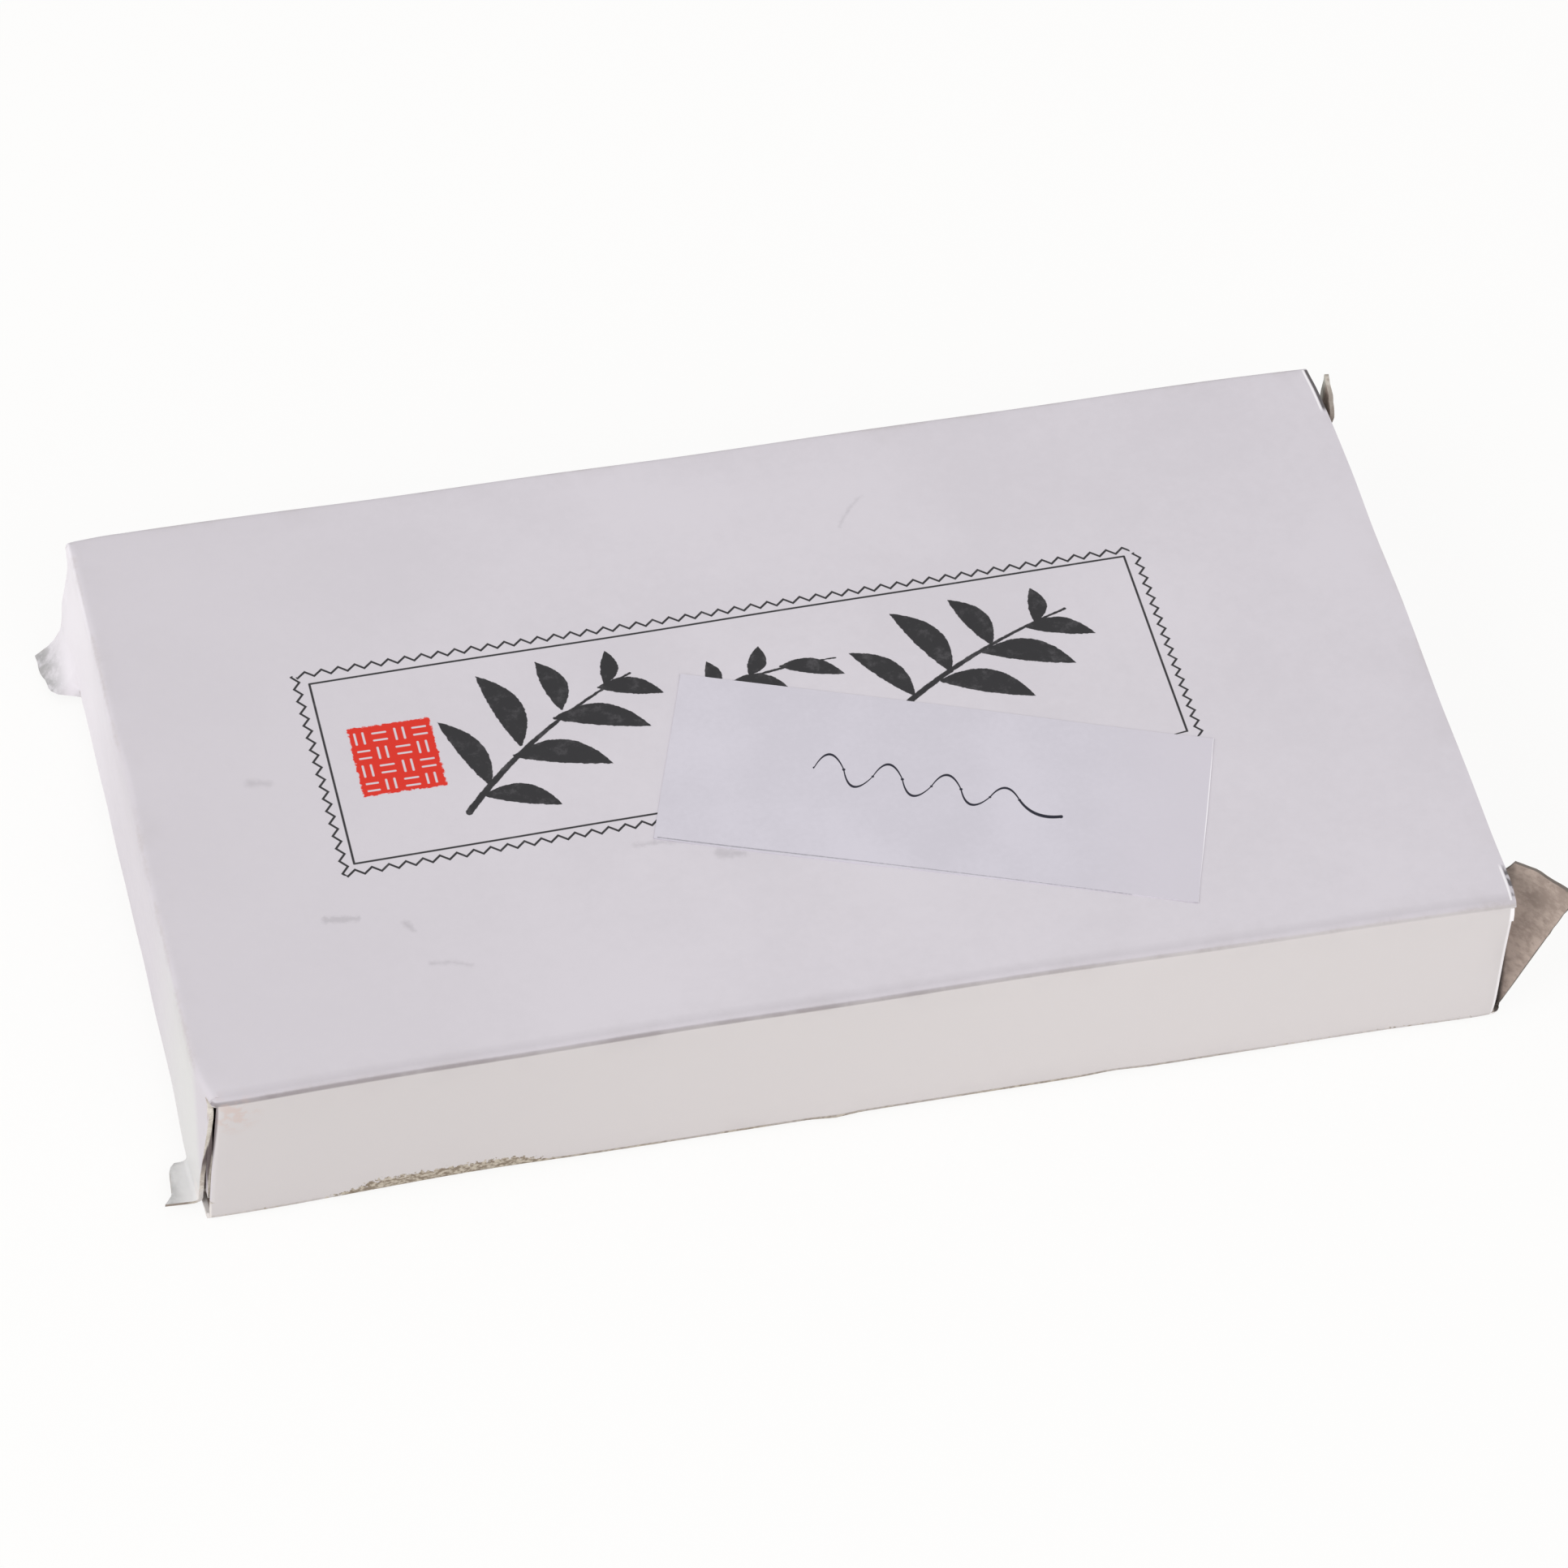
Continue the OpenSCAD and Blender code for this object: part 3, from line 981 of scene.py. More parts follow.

        # Painted highlight: the front's fold at the right and a band beside the top's cut edge are painted
        # bright.
        top = desk.spread(z, high + 0.5, high + 0.54)
        back = desk.ramp(y, at.rim_at_back)
        fold = desk.both(desk.ramp(x, at.fold), desk.fade(y, -corner - 0.3, -corner),
                         desk.fade(z, high - 0.2, high + 0.1))
        lit = desk.both(desk.band(x, at.rim_lit, at.rim_lit_half, at.rim_lit_soft), top,
                        desk.either(back, desk.ramp(y, at.rim_at_front)))
        desk.feed(leaving.inputs["Bright"], desk.either(fold, lit))
        # Painted shade at the top's cut edge by the slits: whole at the back, broken into specks at the
        # front.
        specks = desk.both(desk.band(y, at.specks_centre, at.specks_half, at.specks_soft),
                           desk.spread(desk.noise(inside["Crisp"], 0.9, 2.0), 0.4, 0.6, 0.2, 0.85))
        desk.feed(leaving.inputs["RimShade"], desk.both(desk.ramp(x, at.rim), top, desk.either(back, specks)))
        # The front panel's tint, painted to stand for the warmer light that the front gets.
        desk.feed(leaving.inputs["FrontLight"], desk.fade(y, -corner - 0.5, -corner - 0.35))
        return tree

    def _edge_distance(self, desk: NodeDesk, place: Socket) -> Socket:
        """Measure how far a place on the carton is from its nearest long edge or crease.

        Args:
            desk: The group's desk.
            place: The place on the carton.

        Returns:
            The middle one of its distances from the carton's three pairs of sides.
        """
        halves = self.sizes.length / 2, self.sizes.depth / 2, self.sizes.height / 2
        centres = 0.0, 0.0, self.sizes.height / 2
        offs = [desk.math("ABSOLUTE", desk.minus(part, centre))
                for part, centre in zip(desk.parts(place), centres)]
        sides = [desk.either(desk.minus(half, off), 0.0) for half, off in zip(halves, offs)]
        low = desk.math("MINIMUM", sides[0], sides[1])
        return desk.either(low, desk.math("MINIMUM", desk.either(sides[0], sides[1]), sides[2]))

    def _corner_gap(self, at: GapPlaces) -> Tree:
        """Build the masks of the front left corner, where the lid stands off the front.

        Args:
            at: Where the corner gapes and is crushed.

        Returns:
            A group with the painted shade of the gap, which widens downwards, and the pale crushed board
            under it, painted lighter against the shade there.
        """
        tree, desk, inside, leaving = self._group("corner_gap", {"Place": (0.0, 0.0, 0.0)}, ["Gap", "Pale"])
        x, y, z = desk.parts(inside["Place"])
        # Painted shade of the gap, widening downwards.
        off = desk.math("ABSOLUTE", desk.minus(x, desk.ramp(z, at.line)))
        over = desk.minus(off, desk.ramp(z, at.half_width))
        gap = desk.both(desk.fade(over, 0.0, at.soft), desk.ramp(y, at.front), desk.ramp(z, at.below_rim),
                        desk.ramp(z, at.above_foot), desk.ramp(z, at.darkness))
        desk.feed(leaving.inputs["Gap"], gap)
        # The pale crushed board, painted lighter against the shade there.
        pale = desk.both(desk.ramp(x, at.pale_right), desk.ramp(z, at.pale_low), desk.ramp(x, at.pale_left),
                         desk.ramp(y, at.pale_front))
        desk.feed(leaving.inputs["Pale"], pale)
        return tree

    def _paper_grain(self) -> Tree:
        """Build the faint mottle and tooth of a coated or plain sheet.

        Returns:
            A group with the mottle and a height for bump.
        """
        tree, desk, inside, leaving = self._group(
            "paper_grain", {"Place": (0.0, 0.0, 0.0), "Scale": 1.0}, ["Mottle", "Height"])
        place = desk.vector("SCALE", inside["Place"], inside["Scale"])
        cloudy = desk.noise(place, 0.05, 4.0, 0.55)
        fine = desk.noise(place, 0.9, 4.0, 0.6)
        desk.feed(leaving.inputs["Mottle"], desk.math("ADD", desk.both(cloudy, 0.7), desk.both(fine, 0.3)))
        tooth = desk.noise(place, 4.2, 3.0, 0.6)
        waves = desk.noise(place, 0.24, 2.0, 0.5)
        desk.feed(leaving.inputs["Height"], desk.math("ADD", desk.both(tooth, 0.12), waves))
        return tree

    def _fibres(self) -> Tree:
        """Build the look of recycled pulp: short fibres and specks.

        Returns:
            A group with a tone, dark specks and a height for bump.
        """
        tree, desk, inside, leaving = self._group(
            "fibres", {"Place": (0.0, 0.0, 0.0), "Scale": 1.0}, ["Tone", "Specks", "Height"])
        place = desk.vector("SCALE", inside["Place"], inside["Scale"])
        cloudy = desk.noise(place, 0.3, 5.0, 0.6)
        felted = desk.noise(desk.vector("MULTIPLY", place, (1.0, 0.6, 1.5)), 1.3, 4.0, 0.65)
        tone = desk.math("ADD", desk.both(cloudy, 0.6), desk.both(felted, 0.4))
        desk.feed(leaving.inputs["Tone"], tone)
        bent = desk.add("TexNoise")
        desk.feed(bent.inputs["Vector"], place)
        desk.feed(bent.inputs["Scale"], 0.9)
        swirled = desk.vector("ADD", place, desk.vector("SCALE", bent.outputs["Color"], 1.6))
        cells = desk.add("TexVoronoi", feature="F1")
        desk.feed(cells.inputs["Vector"], desk.vector("MULTIPLY", swirled, (1.0, 0.35, 1.6)))
        desk.feed(cells.inputs["Scale"], 0.9)
        desk.feed(leaving.inputs["Specks"], desk.fade(cells.outputs["Distance"], 0.04, 0.16))
        desk.feed(leaving.inputs["Height"], tone)
        return tree


# Printing


@dataclass(frozen=True)
class Mark:
    """One drawn line or leaf: its ends, its width there and midway, its bow and how ragged its edge is."""

    start: tuple[float, float]
    end: tuple[float, float]
    width: float
    end_width: float = -1.0
    bend: float = 0.0
    tooth: float = 0.0
    pitch: float = 1.9
    ragged: float = 0.0
    soft: float = 0.05
    belly: float = 0.0

    def mask(self, desk: NodeDesk, effects: Effects, place: Socket, rag: Socket) -> Socket:
        """Add this mark to a material.

        Args:
            desk: The material's desk.
            effects: The shared groups.
            place: The place on the sheet, in millimetres, flattened to its plane.
            rag: Noise that frays the mark's edge.

        Returns:
            Where the mark is.
        """
        node = desk.group(
            effects.drawn_line, Place=place, Start=(*self.start, 0.0), End=(*self.end, 0.0),
            Start_Width=self.width, End_Width=self.width if self.end_width < 0 else self.end_width,
            Belly=self.belly, Bend=self.bend, Tooth=self.tooth, Pitch=self.pitch,
            Raggedness=self.ragged, Rag=rag, Softness=self.soft)
        return node.outputs["Mask"]


def marks_mask(desk: NodeDesk, effects: Effects, marks: Sequence[Mark], place: Socket,
               rag: Socket) -> Socket:
    """Join several marks into one mask.

    Args:
        desk: The material's desk.
        effects: The shared groups.
        marks: The marks.
        place: The place on the sheet.
        rag: Noise that frays the marks' edges.

    Returns:
        Where any of the marks is.
    """
    return desk.either(*(mark.mask(desk, effects, place, rag) for mark in marks))


BORDER = (
    Mark((-49.7, 14.3), (42.5, 15.8), 0.26),
    Mark((42.5, 15.8), (42.6, -10.0), 0.26),
    Mark((42.6, -10.0), (39.6, -10.4), 0.22, 0.05),
    Mark((-49.9, -11.3), (-15.2, -10.5), 0.26),
    Mark((-49.9, -11.3), (-49.7, 14.3), 0.26),
    Mark((-50.8, 15.7), (43.2, 16.7), 0.34, tooth=0.75, pitch=1.85),
    Mark((43.9, 16.0), (43.9, -10.8), 0.34, tooth=0.7, pitch=1.5),
    Mark((-50.9, -12.5), (-15.4, -11.6), 0.34, tooth=0.75, pitch=1.85),
    Mark((-51.1, 15.6), (-51.0, -12.6), 0.34, tooth=0.75, pitch=1.75),
)

def leaf(start: tuple[float, float], end: tuple[float, float], bow: float, belly: float,
         foot: float = 0.4) -> Mark:
    """Draw one leaf of a sprig, which swells midway and ends in a point."""
    return Mark(start, end, foot, 0.1, bow, ragged=0.4, belly=belly)


SPRIGS = (
    Mark((-36.4, -6.6), (-15.2, 9.4), 0.8, 0.3, 1.4, ragged=0.3),
    leaf((-34.2, -4.6), (-26.4, -7.4), 0.9, 2.5),
    leaf((-33.4, -3.2), (-37.2, 6.4), -0.9, 2.6),
    leaf((-30.0, 0.2), (-19.8, -2.8), 1.2, 3.1),
    leaf((-29.0, 1.6), (-31.8, 12.0), -1.1, 3.1),
    leaf((-24.6, 4.6), (-14.6, 1.6), 1.1, 2.9),
    leaf((-23.6, 5.8), (-25.0, 12.8), -0.7, 2.5),
    leaf((-19.0, 8.0), (-12.2, 6.0), 0.7, 2.2, foot=0.3),
    leaf((-18.2, 8.4), (-17.2, 13.0), -0.5, 1.8, foot=0.3),
    Mark((-9.8, 4.4), (7.4, 7.3), 0.5, 0.2, 0.7, ragged=0.3),
    leaf((-7.0, 5.3), (-6.6, 9.4), -0.5, 1.7, foot=0.3),
    leaf((-4.4, 6.1), (1.4, 3.9), 0.6, 1.9, foot=0.3),
    leaf((-2.4, 6.7), (-0.6, 10.4), -0.4, 1.8, foot=0.3),
    leaf((1.2, 7.2), (7.8, 4.9), 0.6, 2.0, foot=0.3),
    Mark((9.6, -3.6), (34.0, 9.6), 0.8, 0.3, 1.4, ragged=0.3),
    leaf((14.6, 0.6), (9.0, 7.6), -0.9, 2.6),
    leaf((18.0, 2.0), (27.6, -2.0), 1.1, 3.1),
    leaf((19.4, 3.2), (14.8, 12.4), -1.1, 3.1),
    leaf((23.6, 5.2), (33.2, 1.8), 1.1, 3.0),
    leaf((24.8, 6.2), (21.6, 13.2), -0.8, 2.6),
    leaf((29.2, 7.8), (36.4, 5.6), 0.7, 2.2, foot=0.3),
    leaf((30.4, 8.4), (31.0, 13.2), -0.5, 1.9, foot=0.3),
)

PEN_MARKS = (
    Mark((-13.4, 0.8), (-10.2, 1.0), 0.3, 0.36, 2.0),
    Mark((-10.2, 1.0), (-7.0, 0.5), 0.36, 0.3, -2.0),
    Mark((-7.0, 0.5), (-3.8, 0.6), 0.3, 0.36, 1.9),
    Mark((-3.8, 0.6), (-0.6, 0.1), 0.36, 0.3, -1.9),
    Mark((-0.6, 0.1), (2.6, 0.2), 0.3, 0.36, 1.8),
    Mark((2.6, 0.2), (5.8, -0.4), 0.36, 0.3, -1.7),
    Mark((5.8, -0.4), (9.0, -0.3), 0.3, 0.34, 1.5),
    Mark((9.0, -0.3), (13.6, -1.9), 0.34, 0.5, -0.9),
)

LABEL_EDGE = (
    Mark((-28.9, -11.55), (22.0, -11.6), 0.16, 0.06, 0.1, ragged=0.12, soft=0.06),
)

SMUDGES = (
    Mark((-11.3, -17.2), (-8.7, -17.7), 1.1, 0.5, ragged=1.6, soft=0.5),
    Mark((-54.3, -18.3), (-51.0, -18.7), 0.9, 0.6, ragged=1.4, soft=0.3),
    Mark((-46.2, -20.3), (-45.6, -21.3), 0.7, 0.4, ragged=1.2, soft=0.4),
    Mark((-44.6, -26.2), (-40.6, -27.2), 0.3, 0.2, 0.3, ragged=1.2, soft=0.4),
    Mark((-58.6, 1.7), (-56.6, 1.3), 0.8, 0.4, ragged=1.2, soft=0.6),
    Mark((12.5, 26.0), (16.0, 30.0), 0.1, 0.1, 0.3, ragged=1.2, soft=0.35),
    Mark((-20.0, -14.4), (-13.0, -15.2), 0.4, 0.2, 0.2, ragged=1.4, soft=0.4),
)

CARVED = (
    Mark((0.4, 0.65), (1.8, 0.65), 0.24),
    Mark((0.4, 1.65), (1.8, 1.65), 0.24),
    Mark((2.75, 0.4), (2.75, 1.9), 0.24),
    Mark((3.65, 0.4), (3.65, 1.9), 0.24),
    Mark((0.65, 2.7), (0.65, 4.2), 0.24),
    Mark((1.55, 2.7), (1.55, 4.2), 0.24),
    Mark((2.6, 2.95), (4.0, 2.95), 0.24),
    Mark((2.6, 3.95), (4.0, 3.95), 0.24),
)


# Finishes


@dataclass(frozen=True)
class Finish:
    """What every finish has: a name, a colour as seen, a roughness, a sheen and the depth of its relief."""

    name: str
    colour: Colour
    roughness: float
    sheen: float = 0.5
    relief_depth: float = 0.05
    relief_strength: float = 1.0

    def begin(self) -> tuple[Material, NodeDesk, Node]:
        """Make the material with its plain shader.

        Returns:
            The material, a desk for its nodes and its Principled node.
        """
        material = bpy.data.materials.new(self.name)
        material.use_nodes = True
        desk = NodeDesk(material.node_tree)
        shader = material.node_tree.nodes["Principled BSDF"]
        shader.inputs["Base Color"].default_value = linear(*self.colour)
        shader.inputs["Roughness"].default_value = self.roughness
        shader.inputs["Specular IOR Level"].default_value = self.sheen
        material.diffuse_color = linear(*self.colour)
        return material, desk, shader

    def relief(self, desk: NodeDesk, shader: Node, height: Socket) -> None:
        """Give the surface its relief.

        Args:
            desk: The material's desk.
            shader: The Principled node.
            height: Height over the surface, about 0 to 1, where 1 stands for the relief's depth.
        """
        bump = desk.add("Bump")
        bump.inputs["Distance"].default_value = self.relief_depth * MM
        bump.inputs["Strength"].default_value = self.relief_strength
        desk.feed(bump.inputs["Height"], height)
        desk.feed(shader.inputs["Normal"], bump.outputs[0])


def corner_shade(desk: NodeDesk, effects: Effects, place: Socket, colour: Socket) -> Socket:
    """Lay the painted shade of the front left corner's gap, and the pale crushed board under it, painted
    lighter against that shade, over a colour.

    Args:
        desk: The material's desk.
        effects: The shared groups.
        place: The place on the carton.
        colour: The colour so far.

    Returns:
        The colour with both.
    """
    # Painted shade fills the gap; the pale crushed board under it is painted lighter to make up for the
    # shade there.
    crushed, gap_shade = (232, 227, 225), (98, 86, 88)
    corner = desk.group(effects.corner_gap, Place=place)
    pale = desk.both(corner.outputs["Pale"], 0.95)
    return desk.coats(colour, (pale, crushed), (corner.outputs["Gap"], gap_shade))


@dataclass(frozen=True)
class CoatedBoard(Finish):
    """The carton's white coated side, rubbed along its creases, with painted shade and painted highlights at
    its creases, cut edges and faces; its top also carries the printing.
    """

    printed: bool = False
    sheen: float = 0.35
    grain_shade: float = 0.978
    edge_width: float = 0.75
    edge_amount: float = 0.45
    relief_depth: float = 0.06
    relief_strength: float = 0.7
    lid_face: Ramp = Ramp(-71.8, -71.5, 1.0, 0.0)
    # Painted shade darkens the top towards the left and greys the left lid's ears; the front's painted tint
    # dims towards the left.
    painted_top_shade_left: Ramp = Ramp(-70.0, -5.0, 0.65, 0.0)
    neutral_front: Ramp = Ramp(-34.0, -8.0, 0.85, 0.0)
    lighter_back: Ramp = Ramp(2.0, 34.0, 0.0, 0.8)
    dimmer_front_left: Ramp = Ramp(-75.0, 45.0)
    painted_grey_shade_ears: Ramp = Ramp(-75.2, -72.5, 0.85, 0.0)
    stain_centre: tuple[float, float, float] = (-68.4, -40.0, 17.0)
    stain_reach: float = 3.6
    ink: Colour = (34, 33, 36)
    block_red: Colour = (218, 44, 26)
    smudged: Colour = (120, 115, 120)
    rubbed: Colour = (190, 182, 180)
    dirt: Colour = (192, 186, 189)
    line: Colour = (112, 102, 108)
    fibre: Colour = (130, 116, 100)
    pale_fibre: Colour = (194, 184, 169)
    # Painted shade on the left lid's ears.
    painted_grey_shade: Colour = (152, 152, 151)
    # Painted shade at the top's cut edge by the slits.
    painted_shade: Colour = (62, 57, 56)
    # The front's tint, painted for its warmer light, and its dimmer tone towards the left.
    front_light_tint: Colour = (215, 210, 211)
    dimmer_front: Colour = (207, 202, 203)
    # Painted shade towards the top's left.
    painted_top_shade: Colour = (208, 203, 209)
    neutral: Colour = (220, 220, 219)
    # Lighter towards the back of the left lid's face.
    lighter: Colour = (240, 236, 242)
    # A painted highlight.
    painted_highlight: Colour = (250, 247, 250)
    stain: Colour = (205, 178, 168)

    def material(self, effects: Effects) -> Material:
        """Build the material.

        Args:
            effects: The shared groups.

        Returns:
            The material.
        """
        made, desk, shader = self.begin()
        place = desk.millimetres()
        grain = desk.group(effects.paper_grain, Place=place)
        crisp = desk.add("Attribute", attribute_name="crisp").outputs["Vector"]
        # The crease group gives real wear and also painted shade, painted highlights and the front's painted
        # tint.
        wear = desk.group(effects.wear_and_shading, Place=place, Crisp=crisp, Width=self.edge_width,
                          Amount=self.edge_amount).outputs
        colour = self._board(desk, place, grain.outputs["Mottle"], wear)
        if self.printed:
            colour = self._print(desk, effects, place, colour)
        colour = self._wear_and_painted_light(desk, place, wear, colour)
        desk.feed(shader.inputs["Base Color"], corner_shade(desk, effects, place, colour))
        gloss = desk.spread(grain.outputs["Mottle"], 0.3, 0.7, self.roughness + 0.08, self.roughness - 0.04)
        scuffed = desk.both(wear["Rubbed"], 0.3)
        desk.feed(shader.inputs["Roughness"], desk.math("ADD", gloss, scuffed, clamp=True))
        height = desk.minus(grain.outputs["Height"], scuffed)
        self.relief(desk, shader, height)
        return made

    def _board(self, desk: NodeDesk, place: Socket, mottle: Socket, wear: Mapping[str, Socket]) -> Socket:
        """Colour the board panel by panel, with painted light and shade: darker towards the top's left,
        greyer on the left lid's ears, two tones on the left lid's face, and the front tinted for its warmer
        light.

        Args:
            desk: The material's desk.
            place: The place on the carton.
            mottle: The paper's mottle.
            wear: The masks of wear and of painted light and shade.

        Returns:
            The board's colour.
        """
        x, y = desk.parts(place)[:2]
        darker = tuple(level * self.grain_shade for level in self.colour)
        colour = desk.mix(desk.spread(mottle, 0.35, 0.65), linear(*darker), linear(*self.colour))
        lid = desk.ramp(x, self.lid_face)
        # The front's painted tint for its warmer light, dimmer towards the left.
        front_light_tint = desk.mix(desk.ramp(x, self.dimmer_front_left), linear(*self.dimmer_front), linear(*self.front_light_tint))
        patchy = desk.spread(desk.noise(place, 0.7, 3.0, 0.6), 0.35, 0.6, 0.45, 1.0)
        # Painted shade on the top's left and on the left lid's ears, and the front's painted tint.
        return desk.coats(
            colour,
            (desk.both(desk.ramp(x, self.painted_top_shade_left), desk.minus(1.0, lid)), self.painted_top_shade),
            (desk.both(lid, desk.ramp(y, self.neutral_front)), self.neutral),
            (desk.both(lid, desk.ramp(y, self.lighter_back)), self.lighter),
            (wear["FrontLight"], front_light_tint),
            (desk.both(desk.ramp(x, self.painted_grey_shade_ears), patchy), self.painted_grey_shade))

    def _wear_and_painted_light(self, desk: NodeDesk, place: Socket, wear: Mapping[str, Socket], colour: Socket) -> Socket:
        """Lay dirt, rubbed creases, the crease lines with their painted shade, painted highlights, the
        stain, the torn fibres and painted shade at the cut edge over the colour so far.

        Args:
            desk: The material's desk.
            place: The place on the carton.
            wear: The masks of wear and of painted light and shade.
            colour: The board's colour with its printing.

        Returns:
            The worn colour, with its painted light and shade.
        """
        near = desk.math("DIVIDE", desk.vector("DISTANCE", place, self.stain_centre), self.stain_reach)
        streaks = desk.noise(desk.vector("MULTIPLY", place, (0.8, 1.0, 1.0)), 0.8, 4.0, 0.6)
        stained = desk.both(desk.fade(near, 0.2, 1.0), desk.spread(streaks, 0.42, 0.6), 0.45)
        pulp = desk.noise(desk.vector("MULTIPLY", place, (0.7, 1.0, 1.0)), 2.4, 3.0, 0.6)
        pulp = desk.mix(desk.spread(pulp, 0.4, 0.62), linear(*self.fibre), linear(*self.pale_fibre))
        return desk.coats(
            colour,
            (desk.both(wear["Dirt"], 0.5), self.dirt),
            (wear["Rubbed"], self.rubbed),
            # The dark crease line and the darker foot line, with painted shade above the crease.
            (desk.both(wear["Line"], 0.6), self.line),
            # A painted highlight on the right fold and beside the top's cut edge.
            (wear["Bright"], self.painted_highlight),
            (stained, self.stain),
            (wear["Torn"], pulp),
            # Painted shade at the top's cut edge by the slits.
            (wear["RimShade"], self.painted_shade))

    def _print(self, desk: NodeDesk, effects: Effects, place: Socket, colour: Socket) -> Socket:
        """Print the border, the sprigs and the woven block, with the smudges over them.

        Args:
            desk: The material's desk.
            effects: The shared groups.
            place: The place on the carton.
            colour: The board's colour so far.

        Returns:
            The colour with the printing.
        """
        flat = desk.vector("MULTIPLY", place, (1.0, 1.0, 0.0))
        rag = desk.noise(flat, 1.5, 4.0, 0.6)
        on_top = desk.spread(desk.parts(place)[2], 15.0, 16.0)
        patchy = desk.spread(desk.noise(flat, 0.5, 5.0, 0.7), 0.3, 0.5, 0.94, 1.0)
        black = desk.either(marks_mask(desk, effects, BORDER, flat, rag),
                            marks_mask(desk, effects, SPRIGS, flat, rag))
        smudges = marks_mask(desk, effects, SMUDGES, flat, desk.noise(flat, 1.1, 5.0, 0.7))
        return desk.coats(
            colour,
            (desk.both(self._block(desk, effects, flat, rag), on_top), self.block_red),
            (desk.both(black, patchy, on_top), self.ink),
            (desk.both(smudges, on_top, 0.24), self.smudged))

    @staticmethod
    def _block(desk: NodeDesk, effects: Effects, flat: Socket, rag: Socket) -> Socket:
        """Draw the woven block: a square with short bars cut out of it, four to a tile.

        Args:
            desk: The material's desk.
            effects: The shared groups.
            flat: The place on the carton, flattened to its plane.
            rag: Noise that frays the edges.

        Returns:
            Where the block's ink is.
        """
        centre, half_width, half_depth = (-42.5, 2.4, 0.0), 4.55, 4.85
        tile_corner, tile_size = (47.0, 2.4, 0.0), (4.4, 4.6, 1.0)
        rim = 0.55
        x, y = desk.parts(desk.vector("ABSOLUTE", desk.vector("SUBTRACT", flat, centre)))[:2]
        out = desk.either(desk.minus(x, half_width), desk.minus(y, half_depth))
        wobble = desk.both(desk.minus(rag, 0.5), 0.9)
        square = desk.fade(desk.math("ADD", out, wobble), -0.08, 0.08)
        tile = desk.vector("WRAP", desk.vector("ADD", flat, tile_corner), tile_size, (0.0, 0.0, 0.0))
        carved = marks_mask(desk, effects, CARVED, desk.vector("MULTIPLY", tile, (1.0, 1.0, 0.0)), rag)
        carved = desk.both(carved, desk.fade(desk.math("ADD", out, rim), -0.05, 0.05))
        return desk.both(square, desk.minus(1.0, carved))


@dataclass(frozen=True)
class GreyBack(Finish):
    """The carton's bare inner side, of recycled pulp, with painted light on the right lid's back ear and
    painted shade by its front ear.
    """

    sheen: float = 0.2
    # Where painted light brightens the right lid's back ear, and where painted shade darkens the fold by its
    # front ear.
    painted_light_back: Ramp = Ramp(36.5, 38.0)
    painted_light_high: Ramp = Ramp(9.0, 14.0, 0.0, 0.95)
    outside_lid: Ramp = Ramp(71.0, 71.2)
    painted_shade_slope: float = 0.185
    painted_shade_fold: Ramp = Ramp(78.75, 79.2, 1.0, 0.0)
    painted_shade_up: Ramp = Ramp(5.0, 16.0, 1.0, 0.3)
    painted_shade_outside: Ramp = Ramp(70.9, 71.1)
    painted_shade_front: Ramp = Ramp(-30.0, -31.0)
    dark: Colour = (156, 141, 132)
    speck: Colour = (116, 102, 94)
    painted_light: Colour = (222, 222, 213)
    painted_shade: Colour = (72, 68, 66)

    def material(self, effects: Effects) -> Material:
        """Build the material.

        Args:
            effects: The shared groups.

        Returns:
            The material.
        """
        made, desk, shader = self.begin()
        place = desk.millimetres()
        x, y, z = desk.parts(place)
        pulp = desk.group(effects.fibres, Place=place).outputs
        colour = desk.mix(desk.spread(pulp["Tone"], 0.38, 0.6), linear(*self.dark), linear(*self.colour))
        # Painted light: the right lid's back ear is painted paler to make up for the shade it sits in.
        painted_light = desk.both(desk.ramp(y, self.painted_light_back), desk.ramp(z, self.painted_light_high),
                          desk.ramp(x, self.outside_lid))
        # Painted shade in the fold beside the right lid's front ear.
        beside = desk.minus(x, desk.both(y, self.painted_shade_slope))
        painted_shade = desk.both(desk.ramp(beside, self.painted_shade_fold), desk.ramp(z, self.painted_shade_up),
                          desk.ramp(x, self.painted_shade_outside), desk.ramp(y, self.painted_shade_front), 0.85)
        colour = desk.coats(colour, (desk.both(pulp["Specks"], 0.45), self.speck), (painted_light, self.painted_light),
                            (painted_shade, self.painted_shade))
        desk.feed(shader.inputs["Base Color"], corner_shade(desk, effects, place, colour))
        self.relief(desk, shader, pulp["Height"])
        return made


